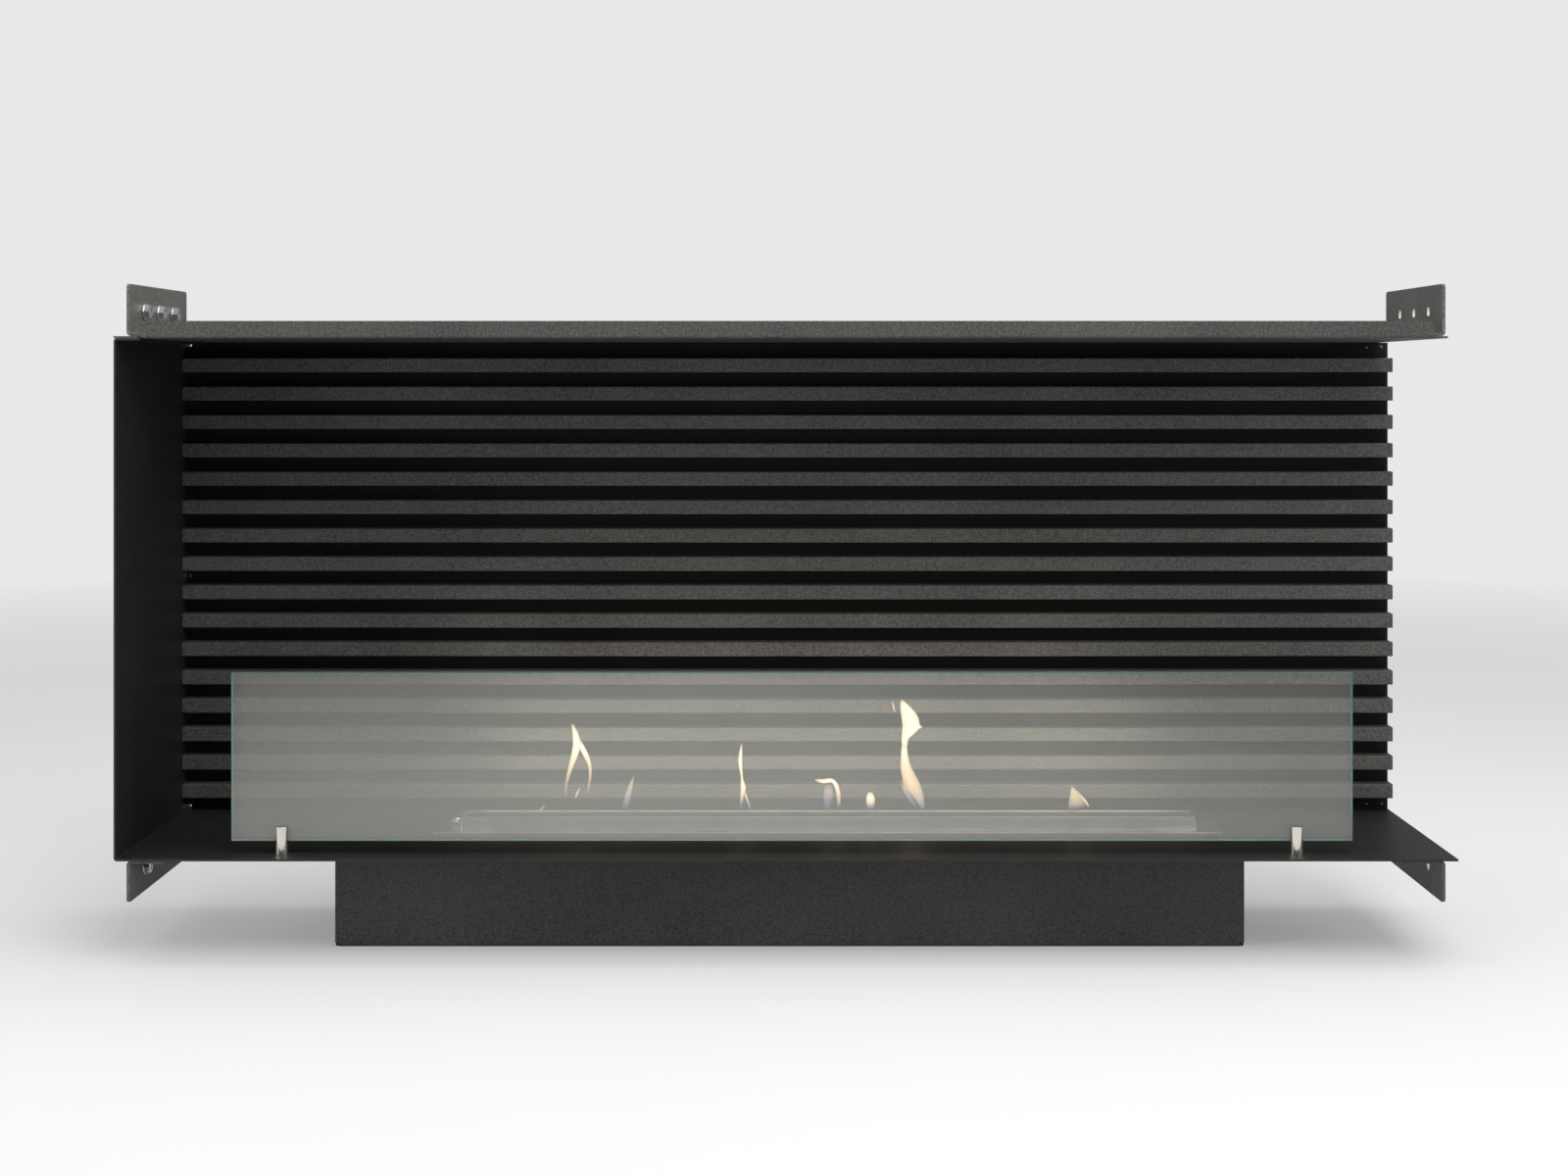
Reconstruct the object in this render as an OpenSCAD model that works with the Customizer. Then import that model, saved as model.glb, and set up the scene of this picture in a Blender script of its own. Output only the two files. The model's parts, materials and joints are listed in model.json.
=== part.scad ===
// Corner fireplace insert for a wall recess. A folded steel casing, closed on the left and
// open at the front and on the right, has a slatted back. A slot burner with its fuel tank
// drops into the shelf, and a glass screen stands in two slotted posts in front of it.
// X runs to the right, Y towards the back and Z up. The origin is on the floor, under the
// middle of the casing.

/* [Casing] */
// Width of the casing
casing_w = 1280; // [1100:10:1600]
// Height of the casing, from the shelf's underside to the top panel's upper face
casing_h = 500; // [410:5:650]
// Clear depth, from the front edge to the face of the back panel
chamber_d = 250; // [230:5:320]
// Height of the shelf's underside above the floor
stand_h = 103; // [100:1:160]
// Thickness of the casing's sheet steel
sheet_t = 2; // [1.5:0.1:2.6]
// Inside radius of the casing's bends
bend_r = 1; // [0.5:0.1:1.2]
// Depth of the flanges behind the back panel
rear_flange = 15; // [13:1:25]
// Width of the left side's inward flange under the top panel
side_flange = 25; // [15:1:40]
// How far the top panel stops short of the shelf's right end
top_short = 10; // [4:0.5:11]
// Radius of the relief holes along the back panel's left fold
relief_r = 2.5; // [1.5:0.1:3]

/* [Front lip] */
// Height of the upright lip above the top panel
lip_h = 14.5; // [8:0.5:25]
// Distance from the casing's ends to the ends of the lip
lip_gap = 22.5; // [15:0.5:40]
// Bevel at the lip's two ends
lip_bevel = 2; // [0.5:0.5:5]

/* [Slats] */
// Number of slats
slat_count = 16; // [8:1:18]
// Depth of a slat
slat_d = 20; // [14:0.5:26]
// Height of a slat
slat_h = 15; // [10:0.5:18]
// Wall of a slat
slat_wall = 1.2; // [0.8:0.1:1.6]
// Outer corner radius of a slat
slat_corner = 1.5; // [1.3:0.1:2.5]
// Gap between the shelf and the lowest slat
slat_gap_low = 14.5; // [12:0.5:20]
// Gap between the highest slat and the top panel
slat_gap_high = 16.5; // [12:0.5:20]
// Gap between the slats and the left side
slat_gap_side = 0.5; // [0.3:0.1:2]

/* [Wall brackets] */
// Length of a bracket, front to back
bracket_l = 200; // [180:5:220]
// Thickness of a bracket
bracket_t = 3; // [2.5:0.1:4]
// Width of the leg that lies on the casing
bracket_leg = 40; // [30:1:60]
// Height of the upper brackets
bracket_up = 50; // [42:1:60]
// Height of the lower brackets
bracket_down = 40; // [33:1:60]
// Distance from the casing's end to a bracket's outer face
bracket_inset = 11.4; // [11.4:0.1:16]
// Corner radius of a bracket's free corners
bracket_corner = 4; // [1:0.5:8]
// Diameter of the wall bolt holes
hole_d = 9; // [8.5:0.1:10]
// Distance between neighbouring bolt holes
hole_pitch = 50; // [30:1:60]
// Distance from the casing's front edge to the first bolt hole
hole_front = 50; // [25:1:60]
// Distance from a bracket's free edge to its bolt holes
hole_edge = 25; // [20:0.5:28]

/* [Burner housing] */
// Width of the housing
housing_w = 900; // [880:5:1040]
// Depth of the housing
housing_d = 130; // [108:1:140]
// Sheet thickness of the housing
housing_t = 1.5; // [1:0.1:2.5]
// Width of the housing's outward top flange
housing_flange = 15; // [14:0.5:20]
// Offset of the housing to the right of the casing's middle
housing_x = 3.5; // [-10:0.5:10]
// Distance from the casing's front edge to the housing's front
housing_front = 85; // [70:1:88]
// Size of the relief notches in the housing's lower corners
housing_notch = 4; // [2:0.5:8]

/* [Burner] */
// Offset of the burner to the right of the casing's middle
burner_x = 42; // [0:1:42]
// Distance from the casing's front edge to the middle of the flame slot
burner_front = 146.5; // [140:0.5:152]
// Length of the flame slot
slot_l = 725; // [605:5:760]
// Width of the flame slot
slot_w = 12; // [10:0.1:14.4]
// Sheet thickness of the burner deck
deck_t = 2; // [1.5:0.1:3]
// Width of the deck beyond the collar at each end
deck_rim = 25; // [24:0.5:30]
// Width of the deck beyond the tank at the front and the back
deck_lip = 7; // [4:0.5:9]
// Distance from the ends of the flame slot to the outside of the collar
collar_end = 10; // [5:0.5:12]
// Depth of the collar
collar_d = 37; // [32:0.5:44]
// Height of the collar's top above the shelf
collar_h = 15; // [12:0.5:30]
// Wall of the collar
collar_wall = 2; // [1.5:0.1:3]
// Width of the collar's inward top rim
collar_rim = 3; // [1:0.5:5]
// Outer corner radius of the collar
collar_corner = 4; // [3.5:0.5:6]
// Depth of the tank below the deck
tank_h = 85; // [70:1:90]
// Wall of the tank
tank_wall = 1.2; // [0.8:0.1:2]
// Width of the deck beyond the tank at each end
tank_rim = 12.5; // [10:0.5:12.5]
// Clearance between the tank and the cut-out in the shelf
tank_gap = 1.5; // [0.5:0.1:3]
// Height of the wicks
wick_h = 62; // [40:1:70]
// Gap around each wick
wick_gap = 3; // [1:0.5:6]

/* [Damper] */
// Thickness of the damper plate
damper_t = 1.2; // [0.8:0.1:2]
// How far the closed damper laps over each edge of the flame slot
damper_lap = 0.8; // [0.5:0.1:2]
// Gap between the open damper and the flame slot
damper_rest = 1.4; // [0.5:0.1:3]
// Width of the straps that carry the damper
strap_w = 8; // [5:0.5:10]
// Thickness of the straps
strap_t = 1.2; // [0.8:0.1:1.6]
// Diameter of the knob
knob_d = 10; // [8:0.5:10]
// Height of the knob
knob_h = 6; // [4:0.5:12]
// Diameter of the knob's stem
stem_d = 3.6; // [3:0.1:5]
// Distance from the outside of the collar to the stem's axis
stem_out = 6; // [5.5:0.1:8]

/* [Glass screen] */
// Width of the glass
glass_w = 1080; // [1020:5:1200]
// Height of the glass
glass_h = 162; // [130:1:260]
// Thickness of the glass
glass_t = 6; // [4:0.5:7.2]
// Offset of the glass to the right of the casing's middle
glass_x = 5.7; // [-10:0.1:10]
// Distance from the casing's front edge to the middle of the glass
glass_front = 28; // [20:0.5:60]
// Height of the glass's lower edge above the shelf
glass_lift = 12.3; // [8:0.1:18]
// Distance between the two posts
post_pitch = 978; // [815:1:1000]
// Offset of the posts' middle to the right of the casing's middle
post_x = 3; // [-10:0.5:10]
// Diameter of a post
post_d = 14; // [13:0.5:20]
// Height of a post
post_h = 26; // [22:0.5:40]
// Thickness of the rubber liner in a post's slot
liner_t = 0.8; // [0.5:0.1:1.2]
// Bevel along the glass's edges
arris = 0.4; // [0.2:0.1:0.8]

/* [Fasteners] */
// Thread diameter of the wall bolts
bolt_d = 8; // [6:0.1:8]
// Length of the wall bolts under the head
bolt_l = 16; // [15:0.5:16]
// Hexagon width of the wall bolts and their nuts
bolt_af = 13; // [10:0.5:15]
// Height of the wall bolts' heads
bolt_head_h = 5.3; // [4:0.1:7]
// Height of the wall bolts' nuts
bolt_nut_h = 6.5; // [5:0.1:6.8]
// Diameter of the wall bolts' washers
washer_d = 16; // [12:0.5:18]
// Thickness of the wall bolts' washers
washer_t = 1.6; // [1:0.1:1.6]
// Thread diameter of the panel screws
screw_d = 4; // [3:0.5:5]
// Number of panel screws along the top and along the shelf
screw_count = 5; // [3:1:8]
// Thread diameter of the housing studs and the post screws
stud_d = 5; // [4:0.5:6]
// Number of studs along the front and along the back of the housing
stud_count = 4; // [2:1:6]
// Thread diameter of the slat screws
slat_screw_d = 3.5; // [3:0.1:4]
// Number of screws along each slat
slat_screw_count = 3; // [2:1:5]
// Diameter of the corner rivets
rivet_d = 3.2; // [2.4:0.1:4]

/* [Clearances] */
// Gap between pieces that move past each other
move_gap = 0.3; // [0.2:0.05:0.5]
// Radial clearance of a screw in its hole
screw_gap = 0.2; // [0.1:0.05:0.4]

/* [Hidden] */
$fn = 48;
eps = 0.01;
left_x = -casing_w / 2;
right_x = casing_w / 2;
body_d = chamber_d + rear_flange;
front_y = -body_d / 2;
back_y = front_y + chamber_d;
rear_y = body_d / 2;
shelf_z = stand_h + sheet_t;
top_z = stand_h + casing_h;
ceiling_z = top_z - sheet_t;
fold_r = bend_r + sheet_t;
inner_left = left_x + sheet_t;
screw_y = back_y + sheet_t + (rear_flange - sheet_t) / 2;

slat_pitch = (ceiling_z - shelf_z - slat_gap_low - slat_gap_high - slat_h) / (slat_count - 1);
slat_left = inner_left + slat_gap_side;
slat_screw_inset = 78;

bracket_face = casing_w / 2 - bracket_inset;
bracket_y = front_y + fold_r;
through = 1;         // how far a cut runs past the faces that it opens
plate_bend_r = 1.5;
bracket_bend = bracket_t + plate_bend_r;
upper_hole_z = top_z + bracket_up - hole_edge;
lower_hole_z = stand_h - bracket_down + hole_edge;

housing_y = front_y + housing_front;
housing_bend = housing_t + plate_bend_r;
stud_inset = 50;
stud_l = 12;

burner_y = front_y + burner_front;
damper_w = slot_w + 2 * damper_lap;
damper_travel = slot_w + damper_lap + damper_rest;
tank_half = slot_w / 2 + damper_rest + damper_w + move_gap + strap_t + move_gap + tank_wall;
tank_d = 2 * tank_half;
collar_l = slot_l + 2 * collar_end;
deck_l = collar_l + 2 * deck_rim;
deck_d = tank_d + 2 * deck_lip;
tank_l = deck_l - 2 * tank_rim;
tank_z = shelf_z - tank_h;
damper_z = shelf_z - move_gap - damper_t;
strap_z = damper_z - move_gap - strap_t;
strap_off = 1;
strap_x = slot_l / 2 + strap_off;
damper_play = 1.8;
damper_end = tank_l / 2 - tank_wall - damper_play;
damper_y = burner_y + slot_w / 2 + damper_rest;
strap_y = burner_y - slot_w / 2 - damper_lap - move_gap;
strap_run = damper_w + damper_travel + 2 * move_gap;
stem_x = burner_x - collar_l / 2 - stem_out;
wick_count = 3;
wick_l = (tank_l - 2 * tank_wall - (wick_count + 1) * wick_gap) / wick_count;

glass_y = front_y + glass_front;
glass_z = shelf_z + glass_lift;
seat_w = glass_t + 2 * move_gap;
cradle_w = seat_w + 2 * liner_t;
cradle_z = glass_z - move_gap - liner_t;
post_bore_h = 8;

screw_head_d = 2 * screw_d;
screw_head_h = 0.6 * screw_d;
screw_nut_af = 1.75 * screw_d;
screw_nut_h = 0.8 * screw_d;
screw_inset = 40;
stud_nut_af = 1.6 * stud_d;
stud_nut_h = 0.8 * stud_d;
post_head_d = 1.8 * stud_d;
post_head_h = 0.6 * stud_d;
post_washer_d = 12;
post_washer_t = 1;
slat_head_d = 2 * slat_screw_d;
slat_head_h = 0.6 * slat_screw_d;
screw_tip = 1;
slat_screw_tip = 3;
rivet_head_d = 2 * rivet_d;
rivet_head_h = 1;
rivet_in = 5;
rivet_out = [7, 23];

function slat_name(i) = str("slat_", i < 10 ? "0" : "", i);
function slat_z(i) = shelf_z + slat_gap_low + (i - 1) * slat_pitch;
function spread(low, high, count, i) = low + (high - low) * i / (count - 1);
function screw_x(i) = spread(left_x + screw_inset, right_x - screw_inset, screw_count, i);
function stud_x(i) = housing_x
    + spread(stud_inset - housing_w / 2, housing_w / 2 - stud_inset, stud_count, i);
function slat_screw_x(i) =
    spread(left_x + slat_screw_inset, right_x - slat_screw_inset, slat_screw_count, i);
stud_rows = [housing_y - housing_flange / 2, housing_y + housing_d + housing_flange / 2];
post_places = [post_x - post_pitch / 2, post_x + post_pitch / 2];

// Turn an outline drawn in Y and Z into a bar that runs from x0 to x1.
module along_x(x0, x1) {
    translate([x0, 0, 0]) rotate([90, 0, 90]) linear_extrude(x1 - x0) children();
}

// Turn an outline drawn in X and Z into a bar that runs from y0 to y1.
module along_y(y0, y1) {
    translate([0, y1, 0]) rotate([90, 0, 0]) linear_extrude(y1 - y0) children();
}

// A rod along X, Y or Z between two places on its axis.
module rod_x(x0, x1, y, z, r) {
    translate([x0, y, z]) rotate([0, 90, 0]) cylinder(h = x1 - x0, r = r);
}
module rod_y(x, y0, y1, z, r) {
    translate([x, y1, z]) rotate([90, 0, 0]) cylinder(h = y1 - y0, r = r);
}
module rod_z(x, y, z0, z1, r) {
    translate([x, y, z0]) cylinder(h = z1 - z0, r = r);
}

// A block between two opposite corners.
module block(low, high) {
    translate(low) cube(high - low);
}

// A rectangle from the origin with round corners.
module round_rect(w, h, r) {
    translate([r, 0]) square([w - 2 * r, h]);
    translate([0, r]) square([w, h - 2 * r]);
    for (x = [r, w - r], y = [r, h - r]) translate([x, y]) circle(r);
}

// An angle with its outer corner at the origin, a round bend and legs along +X and +Y.
module angle_outline(leg_x, leg_y, t, r) {
    translate([r, 0]) square([leg_x - r, t]);
    translate([0, r]) square([t, leg_y - r]);
    intersection() {
        square(r);
        translate([r, r]) difference() {
            circle(r);
            circle(r - t);
        }
    }
}

// A hexagon prism along X or Z, measured across its flats.
module hex_x(x0, x1, y, z, af) {
    translate([x0, y, z]) rotate([0, 90, 0]) cylinder(h = x1 - x0, r = af / sqrt(3), $fn = 6);
}
module hex_z(x, y, z0, z1, af) {
    translate([x, y, z0]) cylinder(h = z1 - z0, r = af / sqrt(3), $fn = 6);
}

// Top sheet with its front lip folded up. The lip stops short of both ends.
module top_panel() {
    lip_end = casing_w / 2 - lip_gap;
    color("#2b2b2a") difference() {
        union() {
            block([left_x, front_y + fold_r, ceiling_z], [right_x - top_short, rear_y, top_z]);
            block([left_x, front_y, ceiling_z], [-lip_end, front_y + fold_r, top_z]);
            block([lip_end, front_y, ceiling_z], [right_x - top_short, front_y + fold_r, top_z]);
            intersection() {
                along_x(-lip_end, lip_end) translate([front_y, ceiling_z])
                    angle_outline(fold_r + eps, sheet_t + lip_h, sheet_t, fold_r);
                along_y(front_y - through, front_y + fold_r + through) polygon([
                    [-lip_end, ceiling_z - through], [lip_end, ceiling_z - through],
                    [lip_end, top_z], [lip_end - lip_bevel, top_z + lip_h + through],
                    [lip_bevel - lip_end, top_z + lip_h + through], [-lip_end, top_z]]);
            }
        }
        for (i = [0:screw_count - 1])
            rod_z(screw_x(i), screw_y, ceiling_z - through, top_z + through, screw_d / 2 + screw_gap);
    }
}

// Shelf and left side, folded from one sheet. The shelf has the burner's cut-out and the holes
// of the posts and of the back flange. The side is folded inwards under the top panel, as far
// back as the back panel.
module shelf_side_panel() {
    cut_l = tank_l + 2 * tank_gap;
    cut_d = tank_d + 2 * tank_gap;
    side_h = ceiling_z - stand_h;
    color("#2b2b2a") difference() {
        along_y(front_y, rear_y) translate([left_x, stand_h]) {
            angle_outline(casing_w, side_h / 2 + eps, sheet_t, fold_r);
            translate([0, side_h]) mirror([0, 1])
                angle_outline(side_flange, side_h / 2, sheet_t, fold_r);
        }
        block([inner_left, back_y, shelf_z], [right_x + through, rear_y + through, ceiling_z]);
        block([burner_x - cut_l / 2, burner_y - cut_d / 2, stand_h - through],
              [burner_x + cut_l / 2, burner_y + cut_d / 2, shelf_z + through]);
        for (x = post_places) rod_z(x, glass_y, stand_h - through, shelf_z + through, stud_d / 2 + screw_gap);
        for (i = [0:screw_count - 1])
            rod_z(screw_x(i), screw_y, stand_h - through, shelf_z + through, screw_d / 2 + screw_gap);
    }
}

// Back sheet behind the slats, with flanges folded rearwards on all four sides.
module back_panel() {
    low = [inner_left, back_y, shelf_z];
    high = [right_x, rear_y, ceiling_z];
    notch = rear_flange - sheet_t;
    color("#1f1f1e") difference() {
        union() {
            block(low, [high.x, back_y + sheet_t, high.z]);
            block([low.x + notch, back_y, low.z], [high.x - notch, high.y, low.z + sheet_t]);
            block([low.x + notch, back_y, high.z - sheet_t], [high.x - notch, high.y, high.z]);
            block([low.x, back_y, low.z + notch], [low.x + sheet_t, high.y, high.z - notch]);
            block([high.x - sheet_t, back_y, low.z + notch], [high.x, high.y, high.z - notch]);
        }
        for (z = [low.z + relief_r, (low.z + high.z) / 2, high.z - relief_r])
            rod_y(low.x + relief_r, back_y - through, back_y + sheet_t + through, z, relief_r);
        for (i = [0:screw_count - 1])
            rod_z(screw_x(i), screw_y, low.z - through, high.z + through, screw_d / 2 + screw_gap);
        for (i = [1:slat_count], k = [0:slat_screw_count - 1])
            rod_y(slat_screw_x(k), back_y - through, back_y + sheet_t + through, slat_z(i) + slat_h / 2,
                  slat_screw_d / 2 + screw_gap);
        for (x = rivet_out, z = [shelf_z + rivet_in, ceiling_z - rivet_in])
            rod_y(right_x - x, back_y - through, back_y + sheet_t + through, z, rivet_d / 2 + screw_gap);
    }
}

// One horizontal slat, a rectangular tube that is open at its ends.
module slat(i) {
    hole_r = slat_screw_d / 2 + screw_gap / 4;
    color("#383736") difference() {
        along_x(slat_left, right_x) translate([back_y - slat_d, slat_z(i)]) difference() {
            round_rect(slat_d, slat_h, slat_corner);
            translate([slat_wall, slat_wall])
                square([slat_d - 2 * slat_wall, slat_h - 2 * slat_wall]);
        }
        for (k = [0:slat_screw_count - 1])
            rod_y(slat_screw_x(k), back_y - slat_wall - through, back_y + through,
                  slat_z(i) + slat_h / 2, hole_r);
    }
}

// Left-hand wall bracket, with its bend at z and its upright leg pointing up (1) or down (-1).
module left_bracket(z, up, h) {
    x = -bracket_face;
    hole_z = up * (h - hole_edge);
    translate([0, 0, z]) difference() {
        intersection() {
            along_y(bracket_y, bracket_y + bracket_l) translate([x, 0]) mirror([0, up > 0 ? 0 : 1])
                angle_outline(bracket_leg, h, bracket_t, bracket_bend);
            union() {
                along_x(x - through, x + bracket_bend)
                    translate([bracket_y, min(0, up * h)])
                        intersection() {
                            translate([0, up > 0 ? -bracket_corner : 0])
                                round_rect(bracket_l, h + bracket_corner, bracket_corner);
                            square([bracket_l, h]);
                        }
                translate([x, bracket_y, up > 0 ? 0 : -bracket_t]) linear_extrude(bracket_t)
                    intersection() {
                        translate([-bracket_corner, 0])
                            round_rect(bracket_leg + bracket_corner, bracket_l, bracket_corner);
                        square([bracket_leg, bracket_l]);
                    }
            }
        }
        for (k = [0:2])
            rod_x(x - through, x + bracket_t + through,
                  front_y + hole_front + k * hole_pitch, hole_z, hole_d / 2);
    }
}
module bracket_upper_left() { color("#4a4a48") left_bracket(top_z, 1, bracket_up); }
module bracket_upper_right() { color("#4a4a48") mirror([1, 0, 0]) left_bracket(top_z, 1, bracket_up); }
module bracket_lower_left() { color("#4a4a48") left_bracket(stand_h, -1, bracket_down); }
module bracket_lower_right() {
    color("#4a4a48") mirror([1, 0, 0]) left_bracket(stand_h, -1, bracket_down);
}

// Put one fastener at each of the six holes of the left-hand brackets.
module at_wall_holes() {
    for (z = [upper_hole_z, lower_hole_z], k = [0:2])
        translate([-bracket_face, front_y + hole_front + k * hole_pitch, z]) children();
}
module wall_bolts() {
    head_x = bracket_t + washer_t;
    color("#c8c8c4") at_wall_holes() {
        rod_x(head_x - bolt_l, head_x + eps, 0, 0, bolt_d / 2);
        hex_x(head_x, head_x + bolt_head_h, 0, 0, bolt_af);
    }
}
module wall_nuts() {
    color("#c8c8c4") at_wall_holes() difference() {
        hex_x(-washer_t - bolt_nut_h, -washer_t, 0, 0, bolt_af);
        rod_x(-washer_t - bolt_nut_h - through, through - washer_t, 0, 0, bolt_d / 2 + screw_gap / 4);
    }
}
module wall_washers() {
    color("#b8b8b4") at_wall_holes() for (x = [-washer_t, bracket_t]) difference() {
        rod_x(x, x + washer_t, 0, 0, washer_d / 2);
        rod_x(x - through, x + washer_t + through, 0, 0, bolt_d / 2 + screw_gap);
    }
}

// Housing under the shelf: a folded tray with two ends and an outward flange all round.
module burner_housing() {
    x0 = housing_x - housing_w / 2;
    x1 = housing_x + housing_w / 2;
    y0 = housing_y;
    y1 = housing_y + housing_d;
    flange_z = stand_h - housing_t;
    cut_h = stand_h + 1;
    color("#333332") difference() {
        union() {
            along_x(x0, x1) {
                translate([y0, 0]) angle_outline(housing_d / 2, stand_h, housing_t, housing_bend);
                translate([y1, 0]) mirror([1, 0])
                    angle_outline(housing_d / 2, stand_h, housing_t, housing_bend);
            }
            for (x = [x0, x1 - housing_t])
                block([x, y0 + housing_bend, housing_t / 2], [x + housing_t, y1 - housing_bend, stand_h]);
            for (x = [x0, x1 - housing_t])
                block([x, y0, housing_bend], [x + housing_t, y1, stand_h]);
            difference() {
                block([x0 - housing_flange, y0 - housing_flange, flange_z],
                      [x1 + housing_flange, y1 + housing_flange, stand_h]);
                block([x0 + housing_t, y0 + housing_t, flange_z - through],
                      [x1 - housing_t, y1 - housing_t, cut_h]);
            }
        }
        for (x = [x0, x1], y = [y0, y1])
            block([x - housing_notch, y - housing_notch, -1],
                  [x + housing_notch, y + housing_notch, housing_notch]);
        for (y = stud_rows, i = [0:stud_count - 1])
            rod_z(stud_x(i), y, flange_z - through, cut_h, stud_d / 2 + screw_gap);
    }
}
module housing_studs() {
    color("#b8b8b4") for (y = stud_rows, i = [0:stud_count - 1])
        rod_z(stud_x(i), y, stand_h - stud_l, stand_h, stud_d / 2);
}
module housing_nuts() {
    z = stand_h - housing_t;
    color("#b8b8b4") for (y = stud_rows, i = [0:stud_count - 1]) difference() {
        hex_z(stud_x(i), y, z - stud_nut_h, z, stud_nut_af);
        rod_z(stud_x(i), y, z - stud_nut_h - through, z + through, stud_d / 2 + screw_gap / 4);
    }
}

// Open-topped tank that hangs under the deck, through the cut-out in the shelf.
module fuel_tank() {
    half = [tank_l / 2, tank_half];
    color("#8f9090") difference() {
        block([burner_x - half.x, burner_y - half.y, tank_z],
              [burner_x + half.x, burner_y + half.y, shelf_z]);
        block([burner_x - half.x + tank_wall, burner_y - half.y + tank_wall, tank_z + tank_wall],
              [burner_x + half.x - tank_wall, burner_y + half.y - tank_wall, shelf_z + through]);
    }
}

// Deck that closes the tank and rests on the shelf, with the flame slot and the knob's slot.
module burner_deck() {
    stem_slot_w = stem_d + 2 * move_gap;
    stem_y = damper_y + damper_w / 2;
    color("#a6a6a2") difference() {
        translate([burner_x - deck_l / 2, burner_y - deck_d / 2, shelf_z])
            linear_extrude(deck_t) round_rect(deck_l, deck_d, collar_corner);
        translate([burner_x - slot_l / 2, burner_y - slot_w / 2, shelf_z - through])
            linear_extrude(deck_t + 2 * through) round_rect(slot_l, slot_w, slot_w / 4);
        translate([0, 0, shelf_z - through]) linear_extrude(deck_t + 2 * through) {
            translate([stem_x - stem_slot_w / 2, stem_y - damper_travel])
                square([stem_slot_w, damper_travel]);
            for (y = [stem_y - damper_travel, stem_y])
                translate([stem_x, y]) circle(stem_slot_w / 2);
        }
    }
}

// Upright collar round the flame slot, with a narrow rim turned in along its top.
module flame_collar() {
    z0 = shelf_z + deck_t;
    z1 = shelf_z + collar_h;
    wall = collar_wall;
    rim = collar_wall + collar_rim;
    color("#a6a6a2") translate([burner_x - collar_l / 2, burner_y - collar_d / 2, z0]) difference() {
        linear_extrude(z1 - z0) round_rect(collar_l, collar_d, collar_corner);
        translate([wall, wall, -through]) linear_extrude(z1 - z0 - collar_wall + through)
            round_rect(collar_l - 2 * wall, collar_d - 2 * wall, collar_corner - wall);
        translate([rim, rim, -through]) linear_extrude(z1 - z0 + 2 * through)
            square([collar_l - 2 * rim, collar_d - 2 * rim]);
    }
}

// Plate under the deck that slides forward and closes the flame slot.
module damper() {
    color("#9a9a96") block([burner_x - damper_end, damper_y, damper_z],
                           [burner_x + strap_x + strap_w + strap_off,
                            damper_y + damper_w, damper_z + damper_t]);
}
module damper_knob() {
    y = damper_y + damper_w / 2;
    knob_z = shelf_z + deck_t + move_gap;
    color("#c8c8c4") {
        rod_z(stem_x, y, damper_z + damper_t, knob_z + eps, stem_d / 2);
        rod_z(stem_x, y, knob_z, knob_z + knob_h, knob_d / 2);
    }
}

// Strap that carries one end of the damper. Its two upright feet also stop the damper.
module damper_strap(x) {
    color("#9a9a96") difference() {
        block([x, strap_y - strap_t, strap_z], [x + strap_w, strap_y + strap_run + strap_t, shelf_z]);
        block([x - through, strap_y, strap_z + strap_t],
              [x + strap_w + through, strap_y + strap_run, shelf_z + through]);
    }
}

// Ceramic wool block that soaks up the fuel.
module wick(i) {
    x = burner_x - tank_l / 2 + tank_wall + wick_gap + (i - 1) * (wick_l + wick_gap);
    half = tank_half - tank_wall - wick_gap;
    color("#d8d2c4") block([x, burner_y - half, tank_z + tank_wall],
                           [x + wick_l, burner_y + half, tank_z + tank_wall + wick_h]);
}

// Glass sheet with its long edges bevelled.
module glass_screen() {
    h = glass_h;
    t = glass_t / 2;
    color("#9fb3b0", 0.4) along_x(glass_x - glass_w / 2, glass_x + glass_w / 2)
        translate([glass_y, glass_z]) polygon([
            [arris - t, 0], [t - arris, 0], [t, arris], [t, h - arris],
            [t - arris, h], [arris - t, h], [-t, h - arris], [-t, arris]]);
}

// Round post with a slot across its top for the glass and a screw hole from below.
module post(x) {
    color("#d9d6cc") difference() {
        rod_z(x, glass_y, shelf_z, shelf_z + post_h, post_d / 2);
        block([x - post_d, glass_y - cradle_w / 2, cradle_z],
              [x + post_d, glass_y + cradle_w / 2, shelf_z + post_h + through]);
        rod_z(x, glass_y, shelf_z - through, shelf_z + post_bore_h, stud_d / 2 + screw_gap / 4);
    }
}

// Rubber channel that lines a post's slot and holds the glass off the metal.
module liner(x) {
    half = sqrt(pow(post_d / 2, 2) - pow(cradle_w / 2, 2));
    color("#303030") difference() {
        block([x - half, glass_y - cradle_w / 2, cradle_z],
              [x + half, glass_y + cradle_w / 2, shelf_z + post_h]);
        block([x - half - through, glass_y - seat_w / 2, cradle_z + liner_t],
              [x + half + through, glass_y + seat_w / 2, shelf_z + post_h + through]);
    }
}
module post_screws() {
    head_z = stand_h - post_washer_t;
    color("#b8b8b4") for (x = post_places) {
        rod_z(x, glass_y, head_z - eps, shelf_z + post_bore_h - screw_tip, stud_d / 2);
        rod_z(x, glass_y, head_z - post_head_h, head_z, post_head_d / 2);
    }
}
module post_washers() {
    z = stand_h - post_washer_t;
    color("#b8b8b4") for (x = post_places) difference() {
        rod_z(x, glass_y, z, stand_h, post_washer_d / 2);
        rod_z(x, glass_y, z - through, stand_h + through, stud_d / 2 + screw_gap);
    }
}

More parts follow.
